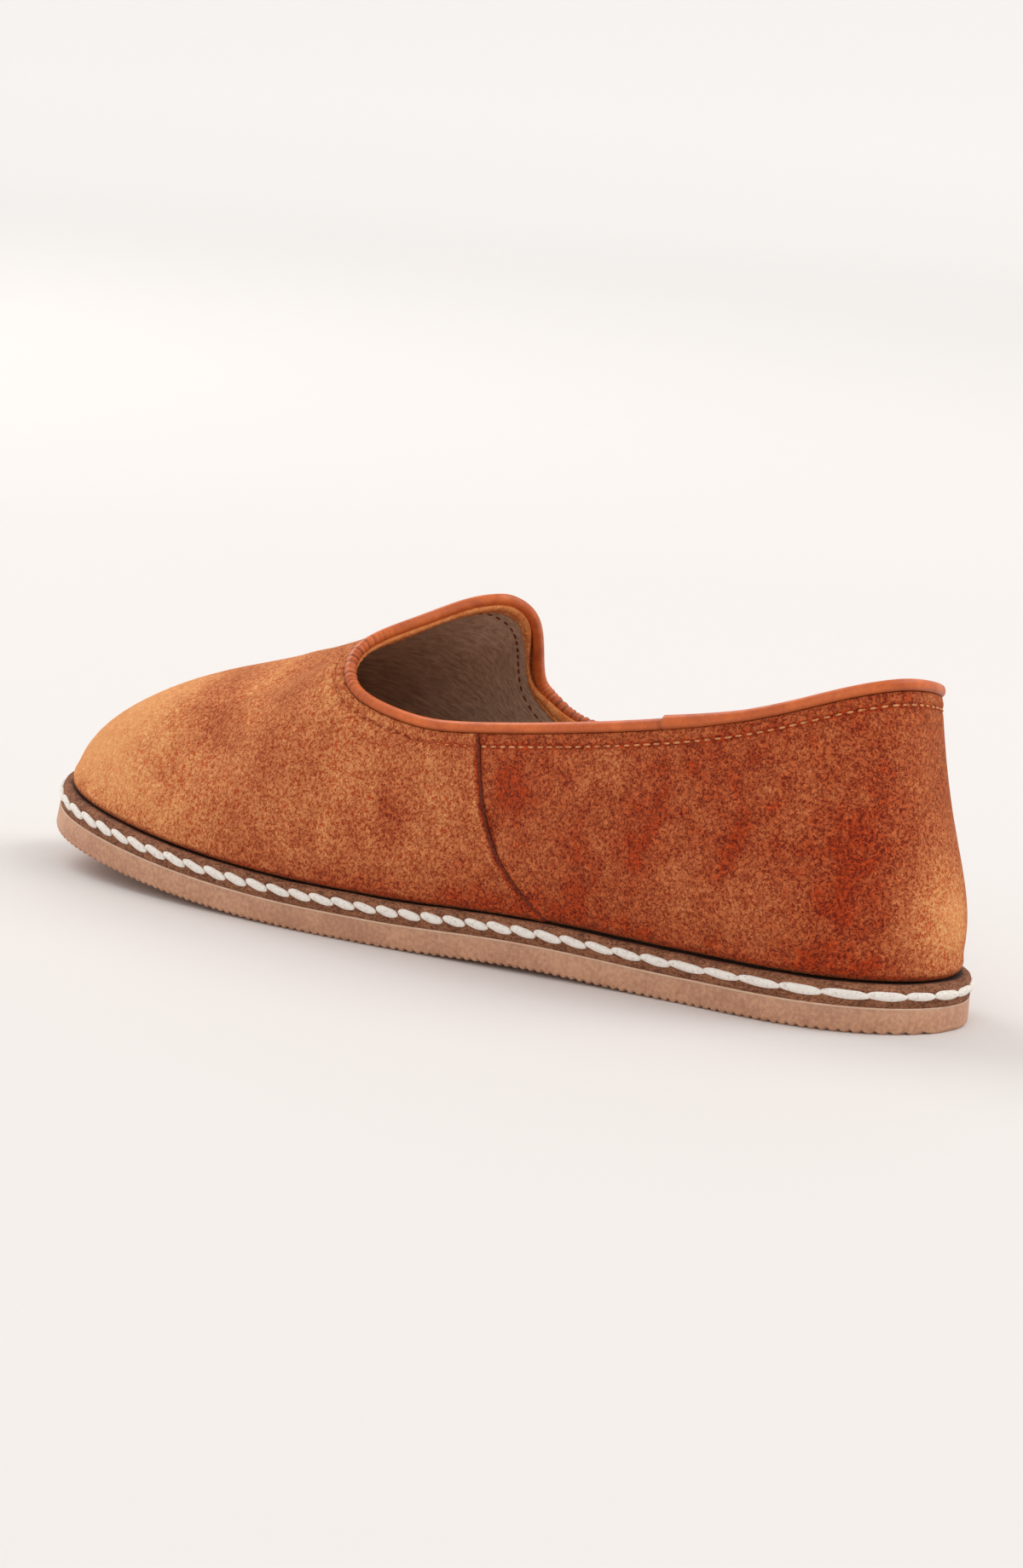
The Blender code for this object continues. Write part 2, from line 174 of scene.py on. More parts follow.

# Lighter and darker patches of the suede, partly painted light. Places are shares: along the length, and up
# the wall.
# outer side, along, up, reach along, reach up, tone
SUEDE_PATCHES = (
    # Partly painted light: the back of the heel, lighter where light falls on it
    (True, 0.001, 0.45, 0.020, 0.60, 0.85),
    (True, 0.070, 0.42, 0.032, 0.30, -0.13),
    (True, 0.160, 0.12, 0.025, 0.14, 0.10),
    (True, 0.170, 0.60, 0.030, 0.25, -0.06),
    (True, 0.220, 0.26, 0.025, 0.24, 0.14),
    (True, 0.200, 0.86, 0.050, 0.10, -0.08),
    (True, 0.260, 0.55, 0.026, 0.26, -0.12),
    (True, 0.300, 0.84, 0.030, 0.12, 0.12),
    (True, 0.325, 0.36, 0.018, 0.28, -0.12),
    (True, 0.400, 0.76, 0.026, 0.18, -0.24),
    (True, 0.470, 0.66, 0.024, 0.18, 0.14),
    (True, 0.520, 0.46, 0.020, 0.18, -0.14),
    (True, 0.510, 0.07, 0.080, 0.08, -0.14),
    (True, 0.580, 0.60, 0.028, 0.20, 0.12),
    (True, 0.560, 0.26, 0.026, 0.14, -0.12),
    (True, 0.545, 0.50, 0.006, 0.14, 0.14),
    (True, 0.585, 0.28, 0.006, 0.10, 0.22),
    (True, 0.632, 0.35, 0.005, 0.10, 0.16),
    (True, 0.620, 0.90, 0.050, 0.10, 0.10),
    (True, 0.660, 0.55, 0.024, 0.20, -0.14),
    (True, 0.680, 0.14, 0.040, 0.12, -0.20),
    (True, 0.770, 0.45, 0.050, 0.09, -0.34),
    (True, 0.760, 0.22, 0.050, 0.10, -0.14),
    (True, 0.820, 0.62, 0.080, 0.06, 0.12),
    (True, 0.900, 0.30, 0.050, 0.20, 0.12),
    # Partly painted light: the back of the heel, lighter where light falls on it
    (False, 0.003, 0.45, 0.022, 0.60, 0.75),
    (False, 0.090, 0.45, 0.040, 0.30, -0.16),
    (False, 0.210, 0.30, 0.030, 0.24, 0.14),
    (False, 0.300, 0.60, 0.030, 0.24, -0.12),
    (False, 0.430, 0.72, 0.030, 0.18, -0.18),
    (False, 0.520, 0.40, 0.030, 0.20, 0.12),
    (False, 0.620, 0.22, 0.040, 0.16, -0.14),
    (False, 0.700, 0.60, 0.040, 0.16, 0.12),
    (False, 0.800, 0.38, 0.050, 0.12, -0.26),
    (False, 0.900, 0.30, 0.050, 0.20, 0.10),
)

# Soft creases of the upper, from one place to another: along and up as shares, then millimetres
# outer side, along, up, to along, to up, width, depth
CREASES = (
    (True, 0.640, 0.88, 0.705, 0.62, 2.4, 0.40),
    (True, 0.598, 0.78, 0.622, 0.52, 2.0, 0.28),
    (True, 0.405, 0.82, 0.418, 0.46, 2.4, 0.28),
    (True, 0.720, 0.42, 0.800, 0.34, 3.0, 0.30),
    (True, 0.130, 0.66, 0.175, 0.40, 3.0, 0.30),
    (False, 0.580, 0.86, 0.665, 0.60, 2.4, 0.40),
    (False, 0.500, 0.76, 0.524, 0.46, 2.2, 0.28),
    (False, 0.720, 0.44, 0.800, 0.36, 3.0, 0.30),
)

# The welt's stitches: how long they are at places along the length, from the back of the heel
# along, length in metres
WELT_STITCH_LENGTHS = (
    (0.000, 0.0082),
    (0.060, 0.0112),
    (0.160, 0.0108),
    (0.270, 0.0078),
    (0.420, 0.0066),
    (0.560, 0.0068),
    (0.720, 0.0076),
    (1.000, 0.0078),
)


def srgb(red, green, blue):
    """A colour from 0 to 255 as Blender's linear values."""
    values = [channel / 255.0 for channel in (red, green, blue)]
    return tuple(v / 12.92 if v <= 0.04045 else ((v + 0.055) / 1.055) ** 2.4 for v in values)


def spline_value(low, high, bend_low, bend_high, share, step):
    """One span of a cubic spline, at a share of its step."""
    rest = 1.0 - share
    straight = rest * low + share * high
    bent = (rest ** 3 - rest) * bend_low + (share ** 3 - share) * bend_high
    return straight + bent * step ** 2 / 6.0


def closed_spline(knots, period, values):
    """A periodic cubic spline through rows of values."""
    values = np.asarray(values, float)
    count = len(knots)
    steps = np.diff(np.append(knots, knots[0] + period))
    slopes = (np.roll(values, -1, axis=0) - values) / steps[:, None]
    matrix = np.zeros((count, count))
    for i in range(count):
        matrix[i, i] += 2.0 * (steps[i - 1] + steps[i])
        matrix[i, i - 1] += steps[i - 1]
        matrix[i, (i + 1) % count] += steps[i]
    bends = np.linalg.solve(matrix, 6.0 * (slopes - np.roll(slopes, 1, axis=0)))

    def at(places):
        places = np.mod(np.asarray(places, float) - knots[0], period) + knots[0]
        low = np.clip(np.searchsorted(knots, places, side="right") - 1, 0, count - 1)
        high = (low + 1) % count
        step = steps[low][:, None]
        share = (places - knots[low])[:, None] / step
        return spline_value(values[low], values[high], bends[low], bends[high], share, step)

    return at


def open_splines(points, shares):
    """Natural cubic splines through rows of points, read at shares of their chord lengths."""
    count = points.shape[1]
    steps = np.linalg.norm(np.diff(points, axis=1), axis=2)
    places = np.hstack((np.zeros((len(points), 1)), np.cumsum(steps, axis=1)))
    matrix = np.tile(np.eye(count), (len(points), 1, 1))
    rows = np.zeros_like(points)
    for i in range(1, count - 1):
        matrix[:, i, i - 1] = steps[:, i - 1]
        matrix[:, i, i] = 2.0 * (steps[:, i - 1] + steps[:, i])
        matrix[:, i, i + 1] = steps[:, i]
        after = (points[:, i + 1] - points[:, i]) / steps[:, i, None]
        before = (points[:, i] - points[:, i - 1]) / steps[:, i - 1, None]
        rows[:, i] = 6.0 * (after - before)
    bends = np.linalg.solve(matrix, rows)
    wanted = np.asarray(shares) * places[:, -1:]
    low = np.clip((places[:, None, :] <= wanted[:, :, None]).sum(axis=2) - 1, 0, count - 2)
    line = np.arange(len(points))[:, None]
    step = steps[line, low][..., None]
    share = (wanted - places[line, low])[..., None] / step
    return spline_value(points[line, low], points[line, low + 1], bends[line, low], bends[line, low + 1],
                        share, step)


def sole_lift(along):
    """Height of the outsole's underside over the floor."""
    share = np.asarray(along) / LENGTH
    toe = np.clip(share - SPRING_START, 0.0, None) / (1.0 - SPRING_START)
    waist = np.clip((share - WAIST_START) / (WAIST_END - WAIST_START), 0.0, 1.0)
    return TOE_SPRING * toe ** SPRING_POWER + WAIST_LIFT * np.sin(math.pi * waist) ** 2


def smooth(low, high, value):
    """0 below low and 1 above high, with a soft step between."""
    share = np.clip((value - low) / (high - low), 0.0, 1.0)
    return share * share * (3.0 - 2.0 * share)


def hump(value, middle, reach):
    """A soft bell, 1 at the middle."""
    return np.exp(-((value - middle) / reach) ** 2)


def run_along(path):
    """How far each point of a path lies from its first point, along it."""
    return np.append(0.0, np.cumsum(np.linalg.norm(np.diff(path, axis=0), axis=1)))


def read_along(run, rows, at):
    """Rows of values that belong to a run, read at other places of it."""
    return np.stack([np.interp(at, run, column) for column in rows.T], axis=1)


class Last:
    """The form that the shoe is built on, in along, across and up."""

    def __init__(self):
        outline = [(row[1] * LENGTH, row[2] * BALL_WIDTH) for row in GIRTH_LINES]
        ring = np.array(outline + outline[:1])
        chords = run_along(ring)
        self.knots = chords[:-1]
        self.period = chords[-1]
        self.outline_at = closed_spline(self.knots, self.period, outline)
        self.girth_at = closed_spline(self.knots, self.period, [self.girth_row(row) for row in GIRTH_LINES])
        dense = self.outline_at(np.linspace(0.0, self.period, 2000))
        dense[:, 0] += self.lean(dense[:, 0], 0.0008)
        self.middle = (dense.min(axis=0) + dense.max(axis=0)) / 2.0

    def lean(self, along, height):
        """The shift along that keeps the sole's side square to its lifted underside."""
        near = 1e-4
        slope = (sole_lift(along + near) - sole_lift(along - near)) / (2.0 * near)
        return slope * (OUTSOLE_THICKNESS + GAP + MIDSOLE_THICKNESS - height)

    def girth_row(self, row):
        name, _, _, top_along, top_across, heel_lift, tab_lift = row
        rise = heel_lift * (HEEL_HEIGHT - SIDE_HEIGHT) + tab_lift * (TAB_HEIGHT - SIDE_HEIGHT)
        values = [top_along * LENGTH, top_across * BALL_WIDTH, SIDE_HEIGHT + rise]
        for way, up, out in GIRTH_PROFILES[name.replace(" in", "")]:
            values += [way, up, out * BALL_WIDTH]
        return values

    def place_of(self, name):
        """The place of a girth line along the outline."""
        return self.knots[[row[0] for row in GIRTH_LINES].index(name)]

    def outline(self, places, inset=0.0):
        """Points of the outline, moved inwards by the inset, and their outward directions."""
        near = 1e-4
        way = self.outline_at(places + near) - self.outline_at(places - near)
        way /= np.linalg.norm(way, axis=1, keepdims=True)
        outward = np.stack((-way[:, 1], way[:, 0]), axis=1)
        return self.outline_at(places) - outward * inset, outward

    def upper_rings(self, places, shares):
        """Rings of the upper's outer face, from its foot to the topline, without its seams."""
        foot, outward = self.outline(places, WELT_LEDGE)
        foot_height = sole_lift(foot[:, 0]) + OUTSOLE_THICKNESS + GAP + MIDSOLE_THICKNESS + GAP
        girth = self.girth_at(places)
        start = np.column_stack((foot, foot_height))
        top = girth[:, :3]
        points = [start]
        for way, up, out in girth[:, 3:].reshape(-1, 3, 3).transpose(1, 2, 0):
            point = start + (top - start) * np.stack((way, way, up), axis=1)
            point[:, :2] += outward * out[:, None]
            points.append(point)
        points.append(top)
        return open_splines(np.stack(points, axis=1), shares).transpose(1, 0, 2)

    def to_frame(self, points):
        """From along, across and up to the part's own frame."""
        points = np.array(points, float)
        points[..., 0] = self.middle[0] - points[..., 0]
        points[..., 1] = self.middle[1] - points[..., 1]
        return points


LAST = Last()


def unit(vectors):
    """The same ways with a length of 1."""
    return vectors / np.maximum(np.linalg.norm(vectors, axis=-1, keepdims=True), 1e-12)


def outward_normals(rings):
    """Normals of a closed wall of rings that go from its foot upwards."""
    way = np.roll(rings, -1, axis=1) - np.roll(rings, 1, axis=1)
    return unit(np.cross(np.gradient(rings, axis=0), way))


def seam_distance(places):
    """Signed distance along the outline from the nearer side seam, positive on the vamp."""
    first, last = (LAST.place_of(name) for name in SEAM_LINES)
    return np.where(places < (first + last) / 2.0, places - first, last - places)


def wall_places():
    """Places round the shoe for the suede, close together at the side seams."""
    places = np.linspace(0.0, LAST.period, WALL_COLUMNS, endpoint=False)
    extra = []
    for name in SEAM_LINES:
        seam = LAST.place_of(name)
        side = 1.0 if name == SEAM_LINES[0] else -1.0
        places = places[np.abs(places - seam - side * 0.4 * MM) > 3.4 * MM]
        extra += [seam + side * step * MM for step in SEAM_COLUMNS]
    return np.sort(np.append(places, extra))


def tone_of(rings, shares):
    """The suede's lighter and darker patches, partly real and partly painted light towards the toe and up
    the back of the heel.
    """
    along = rings[..., 0] / LENGTH
    outer = rings[..., 1] > LAST.middle[1]
    up = np.broadcast_to(np.asarray(shares)[:, None], along.shape)
    tone = FIRST_TONE + sum(change * smooth(low, high, along) for low, high, change in TONE_STEPS)
    for side, at, high, reach, reach_up, change in SUEDE_PATCHES:
        patch = hump(along, at, reach) * hump(up, high, reach_up)
        tone += (outer == side) * PATCH_STRENGTH * change * patch
    return tone


def crease_relief(rings, shares):
    """The creases' troughs and the ridges beside them, in millimetres."""
    along = rings[..., 0] / MM
    up = np.broadcast_to(np.asarray(shares)[:, None] * SIDE_HEIGHT / MM, along.shape)
    outer = rings[..., 1] > LAST.middle[1]
    relief = np.zeros(along.shape)
    for side, *ends, width, depth in CREASES:
        start = np.array(ends[:2]) * (LENGTH / MM, SIDE_HEIGHT / MM)
        way = np.array(ends[2:]) * (LENGTH / MM, SIDE_HEIGHT / MM) - start
        share = np.clip(((along - start[0]) * way[0] + (up - start[1]) * way[1]) / (way @ way), 0.0, 1.0)
        off = np.hypot(along - start[0] - share * way[0], up - start[1] - share * way[1])
        relief += (outer == side) * depth * (0.4 * hump(off, 2.2 * width, width) - hump(off, 0.0, width))
    return relief


def suede_relief(places, shares, rings):
    """How far the suede stands out of its plain form, in metres."""
    off = seam_distance(places)[None, :] / MM
    up = np.asarray(shares)[:, None]
    fade = np.clip((1.0 - up) / 0.10, 0.0, 1.0)
    vamp = smooth(-0.15, 0.35, off) * 0.6 * fade
    groove = -0.38 * hump(off, -0.1, 0.38)
    turned_edge = 0.28 * hump(off, 1.8, 1.3) * fade
    height = (rings[..., 2] - rings[0:1, :, 2]) / MM
    tuck = 0.55 * hump(height, 2.4, 1.7) - 0.7 * (1.0 - smooth(0.0, 0.9, height))
    along = rings[..., 0] / LENGTH
    across = rings[..., 1] / BALL_WIDTH
    waves = np.sin(38.0 * along + 9.0 * up) * np.sin(7.0 * across + 21.0 * along)
    soft = 0.66 * waves * up * (1.0 - up)
    puckers = 0.16 * np.sin(places[None, :] / MM * 1.35) * np.clip(1.0 - np.abs(up - 0.93) / 0.08, 0.0, 1.0)
    corner = hump(rings[-1, :, 0][None, :] / LENGTH, 0.595, 0.045)
    steps = np.linalg.norm(np.diff(rings, axis=0), axis=2)[::-1].cumsum(axis=0)[::-1] / MM
    drop = np.vstack((steps, np.zeros((1, len(places)))))
    stitched = 0.22 * hump(drop, 1.7, 1.0) - 0.30 * hump(drop, TOPLINE_DROP / MM, 0.6)
    creases = crease_relief(rings, shares)
    return (vamp + groove + turned_edge + tuck + soft + puckers * corner + stitched + creases) * MM


def shell_faces(rows, columns, closed_rows):
    """Quads of a wall of rings, closed round the shoe, and over its rows if it is a solid."""
    row = np.arange(rows if closed_rows else rows - 1)[:, None]
    column = np.arange(columns)[None, :]
    after = (column + 1) % columns
    above = (row + 1) % rows
    corners = ((row, column), (above, column), (above, after), (row, after))
    return np.stack([y * columns + x for y, x in corners], axis=-1).reshape(-1, 4)


def new_object(name, points, faces, material=None, sharp=None):
    """A smooth mesh object, with sharp edges over an angle in degrees if one is given."""
    mesh = bpy.data.meshes.new(name)
    mesh.from_pydata(points, [], faces)
    mesh.update()
    mesh.shade_smooth()
    if sharp:
        mesh.set_sharp_from_angle(angle=math.radians(sharp))
    if material:
        mesh.materials.append(material)
    return bpy.data.objects.new(name, mesh)


def new_piece(name, points, faces, material, sharp=None):
    """A piece in the part's frame, from points in along, across and up."""
    points = LAST.to_frame(points).reshape(-1, 3).tolist()
    obj = new_object(name, points, [tuple(face) for face in faces], material, sharp)
    bpy.context.scene.collection.objects.link(obj)
    return obj


def give_attribute(obj, name, values):
    """A value on each point, for a material to read."""
    attribute = obj.data.attributes.new(name, "FLOAT", "POINT")
    attribute.data.foreach_set("value", np.asarray(values, np.float32).ravel())


def give_grid_uv(obj, around, up, period):
    """A UV map in metres: the way round the shoe, and the way up the wall."""
    loops = np.zeros(len(obj.data.loops), np.int32)
    obj.data.loops.foreach_get("vertex_index", loops)
    u = np.asarray(around).ravel()[loops].reshape(-1, 4)
    v = np.asarray(up).ravel()[loops].reshape(-1, 4)
    wraps = (u.max(axis=1) - u.min(axis=1)) > period / 2.0
    u[wraps] = np.where(u[wraps] < period / 2.0, u[wraps] + period, u[wraps])
    layer = obj.data.uv_layers.new(name="UVMap")
    layer.data.foreach_set("uv", np.stack((u, v), axis=-1).astype(np.float32).ravel())


def finish_piece(obj, nodes):
    """Attaches a piece to the root body and hides the solids that it stands for."""
    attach(obj, "root")
    if nodes:
        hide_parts(*nodes)


def add_node(tree, kind, inputs=None, **settings):
    """A shader or geometry node with its settings, and its inputs linked or set by name or number."""
    made = tree.nodes.new(kind)
    for key, value in settings.items():
        setattr(made, key, value)
    for key, value in (inputs or {}).items():
        socket = made.inputs[key]
        if isinstance(value, bpy.types.NodeSocket):
            tree.links.new(value, socket)
        else:
            socket.default_value = value
    return made


class Shades:
    """A material whose Principled shader has constant values, and the nodes to wire to it."""

    def __init__(self, name, roughness, **constants):
        self.material = bpy.data.materials.new(name)
        self.material.use_nodes = True
        self.tree = self.material.node_tree
        self.inputs = self.tree.nodes["Principled BSDF"].inputs
        self.inputs["Roughness"].default_value = roughness
        for key, value in constants.items():
            self.inputs[key.replace("_", " ")].default_value = value
        self.place = self.node("ShaderNodeTexCoord").outputs["Object"]

    def node(self, kind, inputs=None, **settings):
        return add_node(self.tree, kind, inputs, **settings)

    def wire(self, name, output):
        self.tree.links.new(output, self.inputs[name])

    def noise(self, size, detail=2.0, roughness=0.5, distortion=0.0, place=None):
        """Noise whose blobs are about this many metres across."""
        return self.node("ShaderNodeTexNoise", {
            "Vector": place or self.place, "Scale": 1.0 / size, "Detail": detail, "Roughness": roughness,
            "Distortion": distortion}).outputs["Fac"]

    def ramp(self, value, low, high, to_low=0.0, to_high=1.0):
        """Maps low..high to to_low..to_high, clamped."""
        return self.node("ShaderNodeMapRange", {
            "Value": value, "From Min": low, "From Max": high, "To Min": to_low,
            "To Max": to_high}).outputs["Result"]

    def maths(self, operation, first, second=0.0):
        return self.node("ShaderNodeMath", {0: first, 1: second}, operation=operation).outputs["Value"]

    def blend(self, share, low, high):
        """A colour between two others."""
        ends = [end if isinstance(end, bpy.types.NodeSocket) else (*end[:3], 1.0) for end in (low, high)]
        made = self.node("ShaderNodeMix", {"Factor": share, 6: ends[0], 7: ends[1]}, data_type="RGBA")
        return made.outputs[2]

    def bump(self, height, distance, strength, **under):
        return self.node("ShaderNodeBump", {
            "Height": height, "Distance": distance, "Strength": strength, **under}).outputs["Normal"]

    def attribute(self, name):
        return self.node("ShaderNodeAttribute", attribute_name=name).outputs["Fac"]


def suede_material(look):
    """Napped suede: worm-like fibres over mottled patches, painted light and painted shade that the piece's
    tone attribute places.
    """
    made = Shades("Cognac suede", 0.95, Sheen_Weight=look.sheen, Sheen_Roughness=0.38,
                  Sheen_Tint=(*look.light, 1.0), Specular_IOR_Level=0.25)
    curls = made.noise(look.nap, 1.0, 0.5, 0.6)
    curls = made.maths("ABSOLUTE", made.maths("SUBTRACT", curls, 0.5))
    tufts = made.noise(look.nap * 1.1, 1.0, 0.5, 0.9)
    nap = made.node("ShaderNodeMix", {
        "Factor": 0.55, 2: made.ramp(curls, 0.0, 0.09, 1.0, 0.0),
        3: made.ramp(tufts, 0.40, 0.60)}, data_type="FLOAT").outputs[0]
    tone = made.attribute("tone")
    for mottling in (made.noise(0.016, 4.0, 0.62, 0.6), made.noise(0.0045, 3.0, 0.6, 0.3)):
        tone = made.maths("ADD", tone, made.ramp(mottling, 0.3, 0.7, -0.13, 0.13))
    deep = made.blend(made.ramp(tone, 0.1, 1.15), look.dark, look.middle)
    deep = made.blend(made.ramp(tone, 0.8, 1.45, 0.0, 0.6), deep, look.light)
    pale = made.blend(made.ramp(tone, 0.02, 1.0), look.middle, look.light)
    made.wire("Base Color", made.blend(nap, deep, pale))
    made.wire("Normal", made.bump(nap, 0.00035, 0.9))
    return made.material


def smooth_leather_material(name, light, dark, grain=0.0007, roughness=0.42):
    """Smooth leather with a fine grain and uneven dye, and painted shade where a point attribute says so.
    """
    made = Shades(name, roughness, Coat_Weight=0.06, Coat_Roughness=0.4, Specular_IOR_Level=0.35)
    dye = made.noise(0.006, 4.0, 0.6, 0.4)
    pores = made.noise(grain, 3.0, 0.6)
    shade = made.maths("ADD", made.ramp(dye, 0.3, 0.7), made.ramp(pores, 0.3, 0.7, -0.2, 0.2))
    # Painted shade: the dark colour at about a third, for hollows
    deep = [channel * 0.35 for channel in dark[:3]]
    made.wire("Base Color", made.blend(made.attribute("painted_shade"), made.blend(shade, dark, light), deep))
    made.wire("Roughness", made.ramp(dye, 0.3, 0.7, roughness + 0.08, roughness - 0.06))
    made.wire("Normal", made.bump(pores, 0.00010, 0.5))
    return made.material


def lining_material(look):
    """Soft lining leather, with fine wrinkles that run along the shoe and painted shade in their troughs.
    """
    made = Shades("Taupe lining leather", 0.62, Specular_IOR_Level=0.35)
    surface = made.node("ShaderNodeUVMap", uv_map="UVMap").outputs["UV"]
    stretched = made.node("ShaderNodeMapping", {
        "Vector": surface, "Scale": (0.16, 1.0, 1.0), "Rotation": (0.0, 0.0, math.radians(14.0))})
    wrinkles = made.noise(0.0012, 2.0, 0.55, 0.5, stretched.outputs["Vector"])
    clouds = made.ramp(made.noise(0.011, 3.0, 0.6), 0.3, 0.7, 0.3, 0.7)
    # Painted shade in the wrinkles' troughs, over cloudy tone
    shade = made.maths("ADD", clouds, made.ramp(wrinkles, 0.35, 0.65, -0.35, 0.30))
    made.wire("Base Color", made.blend(shade, look.lining_dark, look.lining))
    folds = made.bump(wrinkles, 0.0006, 0.8)
    made.wire("Normal", made.bump(made.noise(0.0006), 0.00010, 0.5, Normal=folds))
    return made.material


def raw_edge_material(look):
    """The cut edge of leather: pale, fibrous and layered."""
    made = Shades("Raw leather edge", 0.88, Specular_IOR_Level=0.25)
    fibres = made.noise(0.0005, 3.0, 0.65, 1.0)
    clouds = made.ramp(made.noise(0.003, 3.0, 0.6), 0.3, 0.7, -0.3, 0.3)
    shade = made.maths("ADD", made.ramp(fibres, 0.3, 0.7), clouds)
    made.wire("Base Color", made.blend(shade, look.raw_edge_dark, look.raw_edge))
    made.wire("Normal", made.bump(fibres, 0.00035, 0.8))
    return made.material


def board_material(look):
    """The midsole's cut edge: brown fibrous leather, with painted shade where a point attribute says so."""
    made = Shades("Brown board leather", 0.82, Specular_IOR_Level=0.3)
    layered = made.node("ShaderNodeMapping", {"Vector": made.place, "Scale": (1.0, 1.0, 2.2)})
    crumbs = made.noise(0.0009, 3.0, 0.65, 0.8, layered.outputs["Vector"])
    clouds = made.ramp(made.noise(0.005, 3.0, 0.6), 0.3, 0.7, -0.25, 0.25)
    shade = made.maths("ADD", made.ramp(crumbs, 0.36, 0.66), clouds)
    # Painted shade: the dark colour at about a third, for the crease under the suede
    deep = [channel * 0.3 for channel in look.board_dark[:3]]
    board = made.blend(shade, look.board_dark, look.board)
    made.wire("Base Color", made.blend(made.attribute("painted_shade"), board, deep))
    made.wire("Normal", made.bump(crumbs, 0.00035, 0.7))
    return made.material


def rubber_material(look):
    """Slightly see-through tan rubber, with a fine sanded face."""
    made = Shades("Tan rubber", 0.5, Subsurface_Weight=0.35, Subsurface_Scale=0.004,
                  Subsurface_Radius=(1.0, 0.55, 0.3), Specular_IOR_Level=0.4)
    sanded = made.noise(0.0011, 3.0, 0.7)
    clouds = made.ramp(made.noise(0.02, 3.0, 0.6), 0.3, 0.7)
    shade = made.maths("ADD", clouds, made.ramp(sanded, 0.32, 0.68, -0.6, 0.6))
    made.wire("Base Color", made.blend(shade, look.rubber_dark, look.rubber))
    made.wire("Roughness", made.ramp(sanded, 0.3, 0.7, 0.42, 0.62))
    made.wire("Normal", made.bump(sanded, 0.00012, 0.4))
    return made.material


def glue_material(look):
    """Dried glue, pale and cloudy."""
    made = Shades("Pale glue", 0.5, Specular_IOR_Level=0.4)
    made.wire("Base Color", made.blend(made.noise(0.003), look.rubber, look.glue))
    return made.material


def thread_material(name, clean, dark, roughness=0.75):
    """Twisted thread, with painted shade in its hollows."""
    made = Shades(name, roughness, Specular_IOR_Level=0.25)
    strands = made.noise(0.0008, 2.0, 0.6, 0.4)
    # Painted shade: darker where the strands' bump is low
    made.wire("Base Color", made.blend(made.ramp(strands, 0.28, 0.5), dark, clean))
    made.wire("Normal", made.bump(strands, 0.00008, 0.6))
    return made.material


def floor_material(look):
    """A pale floor with painted light: it brightens away from the shoe and glows faintly further off, as a
    lit backdrop does.
    """
    made = Shades("Pale floor", 0.7, Specular_IOR_Level=0.2, Emission_Color=(1.0, 0.99, 0.98, 1.0))
    reach = made.node("ShaderNodeVectorMath", {0: made.place}, operation="LENGTH").outputs["Value"]
    # Painted light: the floor's colour brightens further off
    painted_far_light = [min(channel * 1.12, 1.0) for channel in look.floor]
    made.wire("Base Color", made.blend(made.ramp(reach, 0.8, 4.5), look.floor, painted_far_light))
    # Painted light: a faint glow of the far floor
    made.wire("Emission Strength", made.ramp(reach, 0.9, 6.0, 0.0, 0.30))
    return made.material


def stitch_row_tree():
    """Lays one stitch on each point, along its way and facing out, and makes one mesh of them."""
    tree = bpy.data.node_groups.new("Stitch row", "GeometryNodeTree")
    kinds = {"Geometry": "Geometry", "Stitch": "Object", "Unevenness": "Float", "Seed": "Int",
             "Thread": "Material"}
    for name, kind in kinds.items():
        tree.interface.new_socket(name, in_out="INPUT", socket_type="NodeSocket" + kind)
    tree.interface.new_socket("Geometry", in_out="OUTPUT", socket_type="NodeSocketGeometry")
    given = add_node(tree, "NodeGroupInput").outputs
    shape = add_node(tree, "GeometryNodeObjectInfo", {"Object": given["Stitch"]},
                     transform_space="ORIGINAL")
    fields = {}
    for name in ("way", "out", "size"):
        made = add_node(tree, "GeometryNodeInputNamedAttribute", {"Name": name}, data_type="FLOAT_VECTOR")
        fields[name] = made.outputs["Attribute"]
    along = add_node(tree, "FunctionNodeAlignRotationToVector", {"Vector": fields["way"]}, axis="X")
    facing = add_node(tree, "FunctionNodeAlignRotationToVector", {
        "Rotation": along.outputs["Rotation"], "Vector": fields["out"]}, axis="Z", pivot_axis="X")
    spread = add_node(tree, "FunctionNodeRandomValue", {"Seed": given["Seed"]}, data_type="FLOAT_VECTOR")
    for number, operation in enumerate(("SUBTRACT", "ADD")):
        end = add_node(tree, "ShaderNodeMath", {0: 1.0, 1: given["Unevenness"]}, operation=operation)
        tree.links.new(end.outputs["Value"], spread.inputs[number])
    size = add_node(tree, "ShaderNodeVectorMath", {0: fields["size"], 1: spread.outputs[0]},
                    operation="MULTIPLY")
    rows = add_node(tree, "GeometryNodeInstanceOnPoints", {
        "Points": given["Geometry"], "Instance": shape.outputs["Geometry"],
        "Rotation": facing.outputs["Rotation"], "Scale": size.outputs["Vector"]})
    solid = add_node(tree, "GeometryNodeRealizeInstances", {"Geometry": rows.outputs["Instances"]})
    painted = add_node(tree, "GeometryNodeSetMaterial", {
        "Geometry": solid.outputs["Geometry"], "Material": given["Thread"]})
    add_node(tree, "NodeGroupOutput", {"Geometry": painted.outputs["Geometry"]})
    return tree


def stitch_shape(stations, around, strands, groove, twist, blunt):
    """One stitch of length, width and depth 1: thread that swells between its holes."""
    points = []
    for i in range(stations + 1):
        x = i / stations - 0.5
        radius = 0.5 * max(1.0 - abs(2.0 * x) ** blunt, 0.01) ** 0.5
        for k in range(around):
            angle = 2.0 * math.pi * k / around
            ridge = 1.0 + groove * math.cos(strands * (angle + twist * x * math.pi))
            points.append((x, radius * ridge * math.cos(angle), radius * ridge * math.sin(angle)))
    faces = []
    for i in range(stations):
        for k in range(around):
            after = (k + 1) % around
            low, high = i * around, (i + 1) * around
            faces.append((low + k, low + after, high + after, high + k))
    faces.append(tuple(range(around))[::-1])
    faces.append(tuple(range(stations * around, (stations + 1) * around)))
    return new_object("one stitch", points, [face[::-1] for face in faces])


